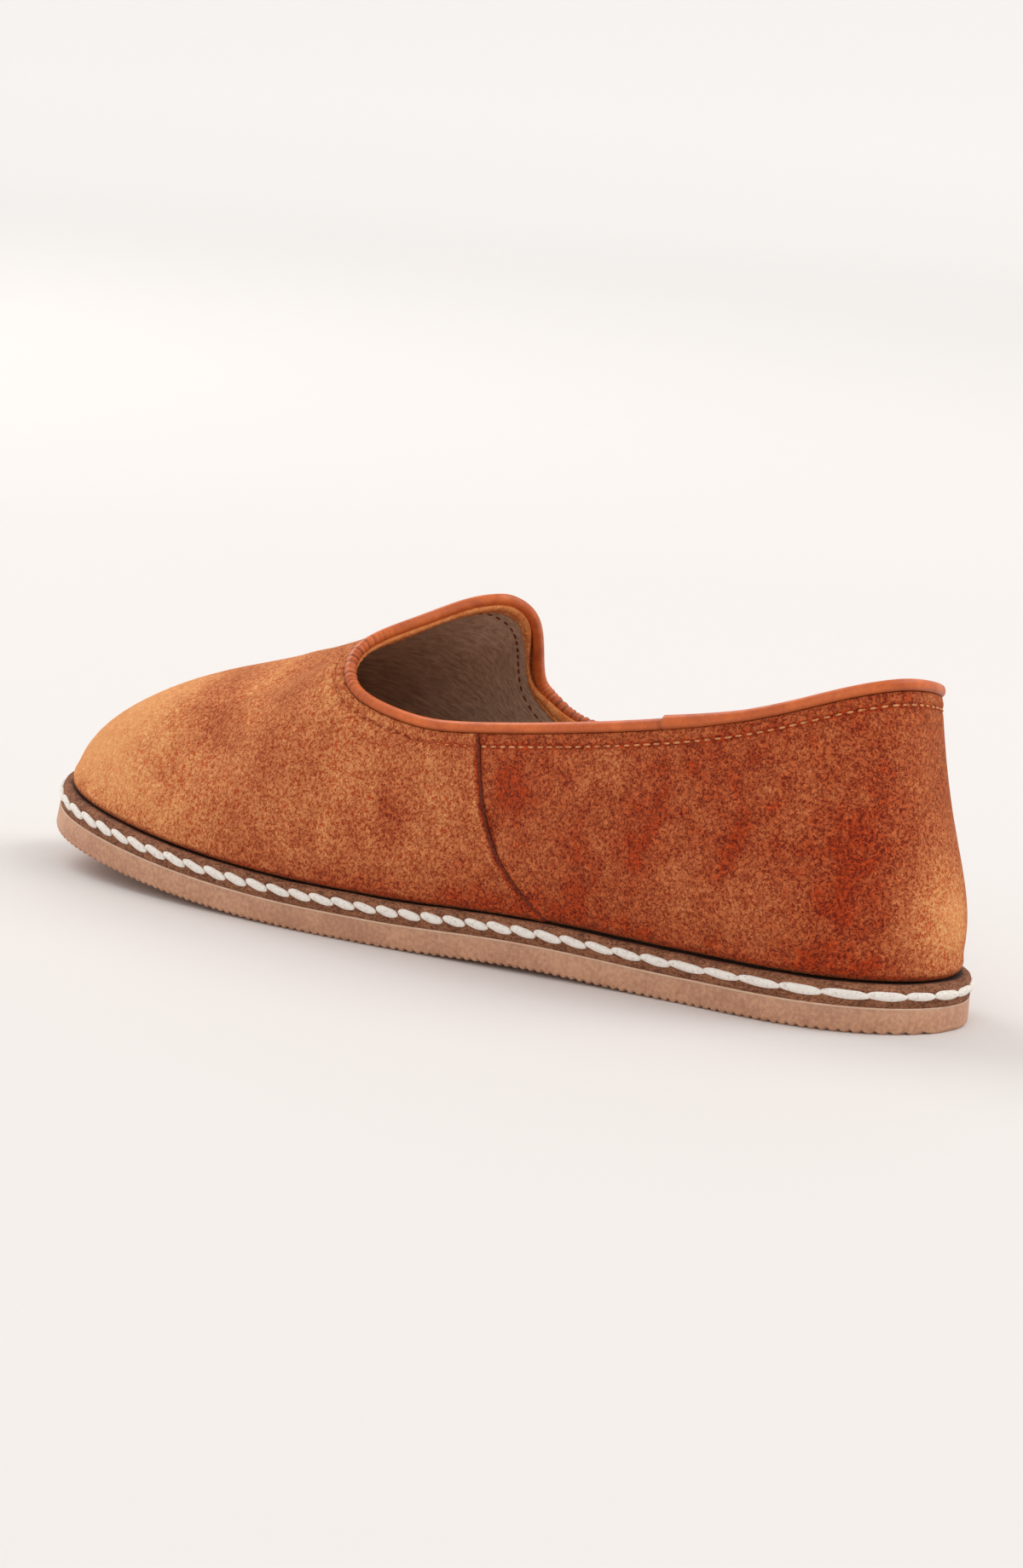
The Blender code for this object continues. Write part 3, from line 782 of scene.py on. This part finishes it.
def stitch_row(name, places, ways, outs, sizes, mat, shape, unevenness, seed):
    """A piece of stitches: places, ways and outs in along, across and up, sizes in metres."""
    mesh = bpy.data.meshes.new(name)
    mesh.from_pydata(LAST.to_frame(places).tolist(), [], [])
    turned = np.array((-1.0, -1.0, 1.0))
    for key, values in (("way", ways * turned), ("out", outs * turned), ("size", sizes)):
        made = mesh.attributes.new(key, "FLOAT_VECTOR", "POINT")
        made.data.foreach_set("vector", np.asarray(values, np.float32).ravel())
    obj = bpy.data.objects.new(name, mesh)
    bpy.context.scene.collection.objects.link(obj)
    modifier = obj.modifiers.new("Stitch row", "NODES")
    modifier.node_group = bpy.data.node_groups.get("Stitch row") or stitch_row_tree()
    values = {"Stitch": shape, "Unevenness": unevenness, "Seed": seed, "Thread": mat}
    for item in modifier.node_group.interface.items_tree:
        if item.in_out == "INPUT" and item.name in values:
            modifier[item.identifier] = values[item.name]
    graph = bpy.context.evaluated_depsgraph_get()
    made = bpy.data.meshes.new_from_object(obj.evaluated_get(graph))
    obj.modifiers.clear()
    obj.data = made
    bpy.data.meshes.remove(mesh)
    bpy.data.objects.remove(shape)
    if not len(made.polygons):
        raise RuntimeError(f"{name} has no stitches")
    return obj


def ways_along(run, path, middles, near):
    """The ways that a path takes at places of its run."""
    return unit(read_along(run, path, middles + near) - read_along(run, path, middles - near))


def colour(name, description, red, green, blue):
    """A colour that a user may change, from 0 to 255."""
    return bpy.props.FloatVectorProperty(
        name=name, description=description, subtype="COLOR", default=srgb(red, green, blue))


def distance(name, description, metres):
    """A length that a user may change."""
    return bpy.props.FloatProperty(
        name=name, description=description, subtype="DISTANCE", unit="LENGTH", default=metres)


def amount(name, description, value):
    """A plain number that a user may change."""
    return bpy.props.FloatProperty(name=name, description=description, default=value)


class SHOE_PG_suede(bpy.types.PropertyGroup):
    # This colour also carries the painted light on the toe and the back of the heel
    light: colour("Light", "Colour of the worn, raised nap", 255, 194, 126)
    middle: colour("Middle", "Colour between the nap's tips and its depth", 214, 78, 26)
    dark: colour("Dark", "Colour in the depth of the nap", 110, 24, 8)
    nap: distance("Nap", "Size of the nap's curls", 0.00078)
    sheen: amount("Sheen", "Strength of the nap's sheen", 0.34)


class SHOE_PG_leather(bpy.types.PropertyGroup):
    binding: colour("Binding", "Colour of the topline's binding", 218, 110, 50)
    # This colour at about a third is the binding's painted shade
    binding_dark: colour("Binding, dark", "Dye in the binding's hollows", 182, 84, 38)
    lining: colour("Lining", "Colour of the lining", 206, 172, 148)
    # This colour is the painted shade in the lining's wrinkles
    lining_dark: colour("Lining, dark", "Colour of its wrinkles", 164, 132, 110)
    raw_edge: colour("Raw edge", "Colour of the cut edges", 255, 176, 106)
    raw_edge_dark: colour("Raw edge, dark", "Colour between its fibres", 214, 108, 52)
    binding_height: distance("Binding height", "Height of the roll over the suede's edge", 0.0030)
    binding_width: distance("Binding width", "Thickness of the roll", 0.0030)
    binding_shift: distance("Binding shift", "How far inside the suede's face its middle lies", 0.0006)
    raw_edge_height: distance("Raw edge height", "Height of the two cut edges together", 0.0023)


class SHOE_PG_sole(bpy.types.PropertyGroup):
    board: colour("Board", "Colour of the midsole's edge", 170, 114, 82)
    board_dark: colour("Board, dark", "Colour between its fibres", 92, 50, 30)
    rubber: colour("Rubber", "Colour of the outsole", 208, 158, 126)
    rubber_dark: colour("Rubber, dark", "Colour of its darker patches", 180, 130, 102)
    glue: colour("Glue", "Colour of the line of glue", 226, 202, 178)
    rib_pitch: distance("Rib pitch", "From rib to rib of the tread", 0.0024)
    rib_depth: distance("Rib depth", "Depth of the tread", 0.0007)


class SHOE_PG_thread(bpy.types.PropertyGroup):
    welt: colour("Welt thread", "Colour of the thick hand stitches", 240, 234, 226)
    # Painted shade between the welt thread's strands
    welt_dark: colour("Welt thread, dark", "Dirt between its strands", 214, 202, 190)
    fine: colour("Fine thread", "Colour of the fine stitches", 216, 146, 96)
    # Painted shade between the fine thread's strands
    fine_dark: colour("Fine thread, dark", "Dirt between its strands", 110, 52, 28)
    seam: colour("Seam thread", "Colour of the side seams' thread", 112, 44, 24)
    # Painted shade between the seam thread's strands
    seam_dark: colour("Seam thread, dark", "Dirt between its strands", 62, 22, 10)
    welt_width: distance("Welt stitch width", "Width of a thick stitch", 0.0023)
    welt_height: distance("Welt stitch height", "Height of the row over the rubber", 0.0033)


class SHOE_PG_stage(bpy.types.PropertyGroup):
    floor: colour("Floor", "Colour of the floor", 224, 221, 219)
    right: amount("Right light", "Power of the light on the heel's side", 30.0)
    left: amount("Left light", "Power of the light on the toe's side", 52.0)
    fill: amount("Front light", "Power of the light beside the camera", 12.0)
    sky: amount("Surroundings", "Brightness all round", 0.68)


class SHOE_OT_upper(bpy.types.Operator):
    """Makes the suede upper with its side seams"""
    bl_idname = "shoe.upper"
    bl_label = "Suede upper"

    def execute(self, context):
        places = wall_places()
        shares = np.concatenate([
            np.linspace(low, high, rows, endpoint=False) for low, high, rows in SUEDE_ROWS] + [[1.0]])
        plain = LAST.upper_rings(places, shares)
        normals = outward_normals(plain)
        tone = tone_of(plain, shares)
        off = seam_distance(places)[None, :] / MM
        up = shares[:, None]
        # Lighter on the vamp's turned edge; painted shade in the seam's groove, at the foot against the
        # welt and in the groove along the stitches
        tone += 0.35 * hump(off, 1.7, 1.0) * smooth(0.15, 0.5, up)
        tone -= 0.50 * hump(off, -0.1, 0.8)
        height = (plain[..., 2] - plain[0:1, :, 2]) / MM
        tone -= 0.9 * (1.0 - smooth(0.2, 2.2, height)) + 0.18 * (1.0 - smooth(2.0, 9.0, height))
        drop = np.linalg.norm(plain - plain[-1:], axis=2) / MM
        tone -= 0.45 * hump(drop, TOPLINE_DROP / MM, 0.6)
        # Painted shade in the creases' troughs and painted highlight on the ridges beside them
        tone += 0.35 * crease_relief(plain, shares)
        outer = plain + normals * suede_relief(places, shares, plain)[..., None]
        inner = plain - normals * SUEDE_BACK
        inner[0] = outer[0] - normals[0] * 0.0004
        rings = np.concatenate((outer, inner[::-1]))
        faces = shell_faces(len(rings), len(places), True)
        obj = new_piece("upper_suede", rings, faces, suede_material(context.scene.shoe_suede))
        give_attribute(obj, "tone", np.concatenate((tone, tone[::-1])))
        finish_piece(obj, ["upper"])
        return {"FINISHED"}


class SHOE_OT_lining(bpy.types.Operator):
    """Makes the wrinkled lining inside the upper"""
    bl_idname = "shoe.lining"
    bl_label = "Lining"

    def execute(self, context):
        places = np.linspace(0.0, LAST.period, WALL_COLUMNS, endpoint=False)
        shares = np.linspace(0.0, 0.995, LINING_ROWS)
        plain = LAST.upper_rings(places, shares)
        normals = outward_normals(plain)
        inner = plain - normals * UPPER_WALL
        outer = plain - normals * LINING_BACK
        rings = np.concatenate((outer, inner[::-1]))
        mat = lining_material(context.scene.shoe_leather)
        obj = new_piece("upper_lining", rings, shell_faces(len(rings), len(places), True), mat)
        around = np.broadcast_to(places, rings.shape[:2])
        rise = np.append(shares, shares[::-1])[:, None] * HEEL_HEIGHT
        give_grid_uv(obj, around, np.broadcast_to(rise, rings.shape[:2]), LAST.period)
        finish_piece(obj, [])
        return {"FINISHED"}


def topline():
    """The suede's top edge and the way along it, with the directions up the wall and into the shoe."""
    places = np.linspace(0.0, LAST.period, TOPLINE_COLUMNS, endpoint=False)
    rings = LAST.upper_rings(places, (0.9, 1.0))
    edge = rings[1]
    rise = unit(edge - rings[0])
    way = unit(np.roll(edge, -1, axis=0) - np.roll(edge, 1, axis=0))
    inward = unit(np.cross(way, rise))
    return places, run_along(edge), edge, np.cross(inward, way), inward


def pucker_strength(places):
    """Where the binding is gathered: at both corners of the throat."""
    return sum(hump(places / LAST.period, place, reach) for place, reach in PUCKERS)


class SHOE_OT_binding(bpy.types.Operator):
    """Makes the leather roll round the topline, with its gathers and its lapped end"""
    bl_idname = "shoe.binding"
    bl_label = "Topline binding"

    def execute(self, context):
        look = context.scene.shoe_leather
        places, run, edge, rise, inward = topline()
        lap_start = LAP_ALONG * LENGTH
        outer_side = edge[:, 1] > LAST.middle[1]
        lap = np.clip(1.0 - (lap_start - edge[:, 0]) / (LAP_FADE * LENGTH), 0.0, 1.0)
        lap[(edge[:, 0] > lap_start) | ~outer_side] = 0.0
        gathers = pucker_strength(places)
        ripple = np.sin(run / MM * 3.4 + 1.4 * np.sin(run / MM * 0.6))
        ripple += 0.5 * np.sin(run / MM * 2.1 + 2.0)
        around = 24
        angles = np.linspace(0.0, 2.0 * math.pi, around, endpoint=False)
        rings = []
        for angle in angles:
            up = math.cos(angle)
            into = math.sin(angle)
            squared = (abs(up) ** 3.0 + abs(into) ** 3.0) ** (-1.0 / 3.0)
            wave = PUCKER_DEPTH * ripple * gathers * (0.6 + 0.4 * math.cos(angle * 2.0))
            half_height = look.binding_height / 2.0 * (1.0 + 0.30 * lap)
            half_width = look.binding_width / 2.0 * (1.0 + 0.24 * lap)
            lift = GAP + look.binding_height / 2.0 - 0.2 * MM + LAP_LIFT * lap
            centre = edge + rise * lift[:, None] + inward * look.binding_shift
            blunt = 0.45 * squared + 0.55
            out_up = ((half_height + wave) * up * blunt)[:, None]
            out_in = ((half_width + wave) * into * blunt)[:, None]
            rings.append(centre + rise * out_up + inward * out_in)
        faces = shell_faces(around, len(places), True)
        mat = smooth_leather_material("Cognac smooth leather", look.binding, look.binding_dark)
        obj = new_piece("binding_roll", np.array(rings), faces, mat)
        # Painted shade in the gathers' troughs, in the step at the lap's start and on the roll's underside
        painted_shade = np.clip(-0.9 * ripple, 0.0, 1.0) * np.clip(1.3 * gathers, 0.0, 1.0)
        painted_shade = painted_shade + outer_side * 0.9 * hump(edge[:, 0] / MM, lap_start / MM + 0.4, 0.40)
        foot = np.clip(-np.cos(angles) - 0.35, 0.0, 1.0)[:, None]
        give_attribute(obj, "painted_shade", np.clip(painted_shade[None, :] * 0.8 + foot, 0.0, 1.0))
        finish_piece(obj, ["topline_binding"])
        return {"FINISHED"}


class SHOE_OT_raw_edges(bpy.types.Operator):
    """Makes the two raw cut edges under the binding, inside the shoe"""
    bl_idname = "shoe.raw_edges"
    bl_label = "Raw cut edges"

    def execute(self, context):
        look = context.scene.shoe_leather
        places, run, edge, rise, inward = topline()
        ragged = 0.16 * np.sin(run / MM * 1.9) + 0.14 * np.sin(run / MM * 0.83 + 1.0)
        ragged += 0.12 * np.sin(run / MM * 3.7 + 2.0)
        face = edge + inward * UPPER_WALL
        mat = raw_edge_material(look)
        share = places / LAST.period
        # More of the edges shows on the tab's outer half, and less where the tab drops to the inner side
        thin = hump(share, 0.645, 0.06)
        height = look.raw_edge_height * (1.0 + 0.8 * hump(share, 0.46, 0.09) - 0.5 * thin)
        strips = (
            ("binding_raw_edge", RAW_EDGE_TOP - 0.0018 * thin, -0.45 * height, 0.00075),
            ("lining_raw_edge", -0.30 * height, -height, 0.00045),
        )
        for name, top, bottom, stands in strips:
            low = bottom + ragged * MM * 0.7
            middle = (top + bottom) / 2.0
            profile = (
                (-RAW_EDGE_SUNK, top), (stands, top), (stands + 0.08 * MM, middle), (stands * 0.9, low),
                (-RAW_EDGE_SUNK, low))
            rings = []
            for out, level in profile:
                bumps = 0.09 * MM * np.sin(run / MM * 2.7 + out / MM * 9.0) * (out > 0.0)
                rings.append(face + inward * (out + bumps)[:, None] + rise * level[:, None])
            faces = shell_faces(len(rings), len(places), True)
            obj = new_piece(name, np.array(rings), faces, mat)
            finish_piece(obj, [])
        return {"FINISHED"}


def sole_ring(stations, inset):
    """The outline in pairs across the shoe, with the way round it, in points close at both ends."""
    dense = np.linspace(0.0, LAST.period, OUTLINE_STATIONS, endpoint=False)
    ring, _ = LAST.outline(dense, inset)
    heel = int(ring[:, 0].argmin())
    ring = np.roll(ring, -heel, axis=0)
    toe = int(ring[:, 0].argmax())
    sides = (ring[:toe + 1], np.vstack((ring[toe:], ring[:1]))[::-1])
    share = np.linspace(0.0, 1.0, stations + 1)
    along = 0.45 * share + 0.55 * (1.0 - np.cos(math.pi * share)) / 2.0
    along = ring[0, 0] + along * (ring[toe, 0] - ring[0, 0])
    across = [np.interp(along, np.maximum.accumulate(side[:, 0]), side[:, 1]) for side in sides]
    outer = np.stack((along, across[0]), axis=1)
    inner = np.stack((along, across[1]), axis=1)
    return np.vstack((outer, inner[-2:0:-1]))


def sole_plate(name, layers, stations, mat, underside=None, sharp=40.0):
    """A plate under the foot: layers of inset and height, closed by strips across the shoe."""
    rings = []
    for number, (inset, height) in enumerate(layers):
        ring = sole_ring(stations, inset)
        level = sole_lift(ring[:, 0]) + height
        if underside is not None:
            level = level + underside(ring, number)
        ring[:, 0] += LAST.lean(ring[:, 0], height)
        rings.append(np.column_stack((ring, level)))
    count = len(rings[0])
    faces = [tuple(face) for face in shell_faces(len(rings), count, False)]
    for first, upwards in ((0, False), ((len(rings) - 1) * count, True)):
        for i in range(count // 2):
            strip = (i, i + 1, (count - i - 1) % count, (count - i) % count)
            corners = tuple(dict.fromkeys(first + corner for corner in strip))
            faces.append(corners[::-1] if upwards else corners)
    return new_piece(name, np.array(rings), faces, mat, sharp)


class SHOE_OT_insole(bpy.types.Operator):
    """Makes the insole, with its softly rounded edge"""
    bl_idname = "shoe.insole"
    bl_label = "Insole"

    def execute(self, context):
        look = context.scene.shoe_leather
        base = OUTSOLE_THICKNESS + GAP + MIDSOLE_THICKNESS + GAP
        edge = WELT_LEDGE + UPPER_WALL + 2.0 * GAP
        top = base + INSOLE_THICKNESS
        layers = ((edge, base), (edge, top - 0.0007), (edge + 0.0002, top - 0.0003), (edge + 0.0007, top))
        mat = smooth_leather_material("Taupe insole leather", look.lining, look.lining_dark, 0.0009, 0.6)
        obj = sole_plate("insole_leather", layers, 160, mat)
        finish_piece(obj, ["insole"])
        return {"FINISHED"}


class SHOE_OT_midsole(bpy.types.Operator):
    """Makes the leather midsole with its welt, and the line of glue under it"""
    bl_idname = "shoe.midsole"
    bl_label = "Midsole and welt"

    def execute(self, context):
        look = context.scene.shoe_sole
        base = OUTSOLE_THICKNESS + GAP
        top = base + MIDSOLE_THICKNESS

        def uneven(ring, number):
            wave = np.sin(ring[:, 0] / MM * 0.45) + np.sin(ring[:, 0] / MM * 0.17 + ring[:, 1] / MM * 0.3)
            return 0.05 * MM * wave * (1.0 if number > 1 else 0.0)

        # Inset and height of each layer, from the rubber up, over the rim and into the welt's groove
        layers = (
            (0.00012, base), (0.0, base + 0.0004), (0.00005, base + 0.0022), (0.0, top - 0.0013),
            (0.00025, top - 0.0005), (0.0007, top - 0.0001), (0.0017, top), (WELT_LEDGE - 0.0004, top),
            (WELT_LEDGE + 0.0016, top - 0.0001))
        obj = sole_plate("welt_midsole_board", layers, SOLE_STATIONS, board_material(look), uneven)
        # Painted shade in the crease under the suede's foot, and a little darker at the board's foot over
        # the rubber
        painted_shade = [0.25, 0.1, 0.0, 0.0, 0.0, 0.0, 0.0, 1.0, 1.0]
        give_attribute(obj, "painted_shade", np.repeat(painted_shade, len(obj.data.vertices) // len(layers)))
        finish_piece(obj, ["welt_midsole"])
        layers = ((0.0002, OUTSOLE_THICKNESS - 0.0002), (0.00005, base - 0.0001), (0.0002, base + 0.0002))
        line = sole_plate("glue_line", layers, 200, glue_material(look))
        finish_piece(line, [])
        return {"FINISHED"}


class SHOE_OT_outsole(bpy.types.Operator):
    """Makes the rubber outsole with the fine ribs of its tread"""
    bl_idname = "shoe.outsole"
    bl_label = "Outsole"

    def execute(self, context):
        look = context.scene.shoe_sole

        def tread(ring, number):
            if number > 2:
                return 0.0
            ribs = 0.5 + 0.5 * np.cos(2.0 * math.pi * ring[:, 0] / look.rib_pitch)
            return look.rib_depth * ribs ** 2.0 * (1.0, 0.95, 0.5)[number]

        top = OUTSOLE_THICKNESS
        layers = (
            (0.0006, 0.0), (0.0002, 0.0003), (0.0, 0.0009), (0.0, 0.0035), (0.0, top - 0.0004),
            (0.0004, top))
        obj = sole_plate("outsole_rubber", layers, TREAD_STATIONS, rubber_material(look), tread, 50.0)
        finish_piece(obj, ["outsole"])
        return {"FINISHED"}


def welt_line(height, outwards):
    """A line round the sole's side, at a height over the rubber."""
    places = np.linspace(0.0, LAST.period, WELT_STATIONS)
    ring, outward = LAST.outline(places, -outwards)
    level = OUTSOLE_THICKNESS + height
    along = ring[:, 0] + LAST.lean(ring[:, 0], level)
    return np.column_stack((along, ring[:, 1], sole_lift(ring[:, 0]) + level)), outward


class SHOE_OT_welt_stitches(bpy.types.Operator):
    """Makes the thick slanted stitches round the welt"""
    bl_idname = "shoe.welt_stitches"
    bl_label = "Welt stitches"

    def execute(self, context):
        look = context.scene.shoe_thread
        path, outward = welt_line(look.welt_height, 0.0)
        run = run_along(path)
        table = np.array(WELT_STITCH_LENGTHS)
        lengths = np.interp(path[:, 0] / LENGTH, table[:, 0], table[:, 1])
        counted = np.append(0.0, np.cumsum(np.diff(run) / lengths[:-1]))
        total = int(round(counted[-1]))
        middles = np.interp((np.arange(total) + 0.5) * counted[-1] / total, counted, run)
        at = read_along(run, path, middles)
        out = unit(np.column_stack((read_along(run, outward, middles), np.zeros(total))))
        length = np.interp(middles, run, lengths)
        way = ways_along(run, path, middles, 0.4 * MM)
        along = at[:, 0] / LENGTH
        slant = np.radians(2.0 + 8.0 * smooth(0.12, 0.4, along))
        towards_toe = np.sign(way[:, 0:1])
        way = unit(way + np.array((0.0, 0.0, 1.0)) * np.tan(slant)[:, None] * towards_toe)
        width = np.full(total, look.welt_width)
        sizes = np.column_stack((length * WELT_STITCH_OVERLAP, width, np.full(total, WELT_STITCH_DEPTH)))
        mat = thread_material("Off-white thick thread", look.welt, look.welt_dark)
        obj = stitch_row("welt_stitches", at + out * 0.0001, way, out, sizes, mat,
                         stitch_shape(18, 14, 3, 0.05, 1.0, 2.4), 0.07, 4)
        finish_piece(obj, [])
        return {"FINISHED"}


def row_under_topline(drop, lift, inside=False):
    """A line that runs a given way under the topline."""
    places = np.linspace(0.0, LAST.period, ROW_STATIONS)
    grid = LAST.upper_rings(places, np.linspace(0.6, 1.0, 41))
    normals = outward_normals(grid)
    back = np.linalg.norm(np.diff(grid, axis=0), axis=2)[::-1].cumsum(axis=0)[::-1]
    points, outs = [], []
    for i in range(len(places)):
        row = np.interp(-drop, -np.append(back[:, i], 0.0), np.arange(41.0))
        low = min(int(row), 39)
        share = row - low
        out = unit(normals[low, i] * (1.0 - share) + normals[low + 1, i] * share)
        point = grid[low, i] * (1.0 - share) + grid[low + 1, i] * share
        points.append(point + out * (-UPPER_WALL - lift if inside else lift))
        outs.append(-out if inside else out)
    return np.array(points), np.array(outs)


def fine_row(name, path, outs, pitch, length, width, mat, seed):
    """A row of fine stitches along a path."""
    run = run_along(path)
    count = max(int(round(run[-1] / pitch)), 1)
    middles = (np.arange(count) + 0.5) * run[-1] / count
    at = read_along(run, path, middles)
    way = ways_along(run, path, middles, pitch * 0.3)
    out = unit(read_along(run, outs, middles))
    sizes = np.tile((length, width, width), (count, 1))
    return stitch_row(name, at, way, out, sizes, mat, stitch_shape(6, 6, 2, 0.0, 0.0, 2.6), 0.12, seed)


class SHOE_OT_fine_stitches(bpy.types.Operator):
    """Makes the fine rows: under the topline, up the side seams and down the lining"""
    bl_idname = "shoe.fine_stitches"
    bl_label = "Fine stitches"

    def execute(self, context):
        look = context.scene.shoe_thread
        mat = thread_material("Brown fine thread", look.fine, look.fine_dark, 0.6)
        dark = thread_material("Dark seam thread", look.seam, look.seam_dark, 0.6)
        path, outs = row_under_topline(TOPLINE_DROP, -0.12 * MM)
        row = fine_row("topline_stitches", path, outs, FINE_PITCH, FINE_LENGTH, 0.62 * MM, mat, 7)
        finish_piece(row, [])
        path, outs = row_under_topline(LINING_DROP, 0.05 * MM, inside=True)
        row = fine_row("lining_stitches", path, outs, FINE_PITCH, FINE_LENGTH, 0.60 * MM, dark, 9)
        finish_piece(row, [])
        for name, line in (("seam_thread_outer", "side seam"), ("seam_thread_inner", "side seam in")):
            shares = np.linspace(0.01, 0.985, 160)
            places = np.full(len(shares), LAST.place_of(line))
            side = 1.0 if line == "side seam" else -1.0
            wide = places[0] + np.array((-1.0, 0.0, 1.0)) * MM
            grid = LAST.upper_rings(wide, shares)
            way = unit(grid[:, 2] - grid[:, 0])
            up = unit(np.gradient(grid[:, 1], axis=0))
            out = unit(np.cross(up, way))
            path = grid[:, 1] + out * 0.0001 - way * side * 0.0001
            seam = fine_row(name, path, out, SEAM_PITCH, SEAM_LENGTH, SEAM_WIDTH, dark, 11)
            finish_piece(seam, [])
        return {"FINISHED"}


def look_at(location, target, roll):
    """A camera's matrix from where it stands, what it faces and its roll."""
    forward = (target - location).normalized()
    right = forward.cross(Vector((0.0, 0.0, 1.0))).normalized()
    up = right.cross(forward)
    turned_right = right * math.cos(roll) + up * math.sin(roll)
    turned_up = up * math.cos(roll) - right * math.sin(roll)
    turn = Matrix((turned_right, turned_up, -forward)).transposed().to_4x4()
    return Matrix.Translation(location) @ turn


def area_light(name, location, target, size, power, tint):
    """A round soft light that faces a place."""
    data = bpy.data.lights.new(name, "AREA")
    data.shape = "DISK"
    data.size = size
    data.energy = power
    data.color = tint
    light = bpy.data.objects.new(name, data)
    bpy.context.scene.collection.objects.link(light)
    light.matrix_world = look_at(Vector(location), Vector(target), 0.0)
    return light


class SHOE_OT_stage(bpy.types.Operator):
    """Makes the floor, the soft light and the camera"""
    bl_idname = "shoe.stage"
    bl_label = "Stage"

    def execute(self, context):
        look = context.scene.shoe_stage
        back, bend, side, top = 5.0, 4.0, 9.0, 8.0
        profile = [(-back, 0.0), (back, 0.0)]
        for angle in np.linspace(0.0, math.pi / 2.0, 24)[1:]:
            profile.append((back + bend * math.sin(angle), bend - bend * math.cos(angle)))
        profile.append((back + bend, top))
        points = [(x, y, z) for x in (-side, side) for y, z in profile]
        count = len(profile)
        faces = [(i, count + i, count + i + 1, i + 1) for i in range(count - 1)]
        floor = new_object("floor", points, faces, floor_material(look))
        context.scene.collection.objects.link(floor)
        floor.rotation_euler = (0.0, 0.0, math.radians(36.0))
        middle = (0.0, 0.0, 0.04)
        warm = (1.0, 0.975, 0.95)
        area_light("right", (1.5, 1.2, 2.0), middle, 2.0, look.right, warm)
        area_light("left", (-2.6, 0.3, 2.4), middle, 2.4, look.left, warm)
        area_light("front", (0.9, -2.6, 1.2), middle, 1.8, look.fill, (1.0, 0.98, 0.97))
        context.scene.view_settings.view_transform = "Standard"
        world = bpy.data.worlds.new("Studio")
        context.scene.world = world
        world.use_nodes = True
        background = world.node_tree.nodes["Background"]
        background.inputs["Color"].default_value = (1.0, 0.985, 0.97, 1.0)
        background.inputs["Strength"].default_value = look.sky
        data = bpy.data.cameras.new("Camera")
        data.sensor_width = 36.0
        data.lens = CAMERA_LENS
        camera = bpy.data.objects.new("Camera", data)
        context.scene.collection.objects.link(camera)
        camera.matrix_world = look_at(Vector(CAMERA_AT), Vector(CAMERA_AIM), math.radians(CAMERA_ROLL))
        context.scene.camera = camera
        return {"FINISHED"}


OPERATORS = (
    SHOE_OT_upper,
    SHOE_OT_lining,
    SHOE_OT_binding,
    SHOE_OT_raw_edges,
    SHOE_OT_insole,
    SHOE_OT_midsole,
    SHOE_OT_outsole,
    SHOE_OT_welt_stitches,
    SHOE_OT_fine_stitches,
    SHOE_OT_stage,
)
LOOKS = {
    "shoe_suede": SHOE_PG_suede,
    "shoe_leather": SHOE_PG_leather,
    "shoe_sole": SHOE_PG_sole,
    "shoe_thread": SHOE_PG_thread,
    "shoe_stage": SHOE_PG_stage,
}


class SHOE_PT_panel(bpy.types.Panel):
    """Lists the shoe's pieces and their looks"""
    bl_label = "Slip-on shoe"
    bl_idname = "SHOE_PT_panel"
    bl_space_type = "VIEW_3D"
    bl_region_type = "UI"
    bl_category = "Shoe"

    def draw(self, context):
        for operator in OPERATORS:
            self.layout.operator(operator.bl_idname)
        for name, group in LOOKS.items():
            box = self.layout.box()
            for key in group.__annotations__:
                box.prop(getattr(context.scene, name), key)


def register():
    for made in (*LOOKS.values(), *OPERATORS, SHOE_PT_panel):
        bpy.utils.register_class(made)
    for name, group in LOOKS.items():
        setattr(bpy.types.Scene, name, bpy.props.PointerProperty(type=group))


def unregister():
    for name in LOOKS:
        delattr(bpy.types.Scene, name)
    for made in reversed((*LOOKS.values(), *OPERATORS, SHOE_PT_panel)):
        bpy.utils.unregister_class(made)


def main():
    register()
    bpy.ops.shoe.stage()
    bpy.ops.shoe.upper()
    bpy.ops.shoe.lining()
    bpy.ops.shoe.binding()
    bpy.ops.shoe.raw_edges()
    bpy.ops.shoe.insole()
    bpy.ops.shoe.midsole()
    bpy.ops.shoe.outsole()
    bpy.ops.shoe.welt_stitches()
    bpy.ops.shoe.fine_stitches()


if __name__ == "__main__":
    main()
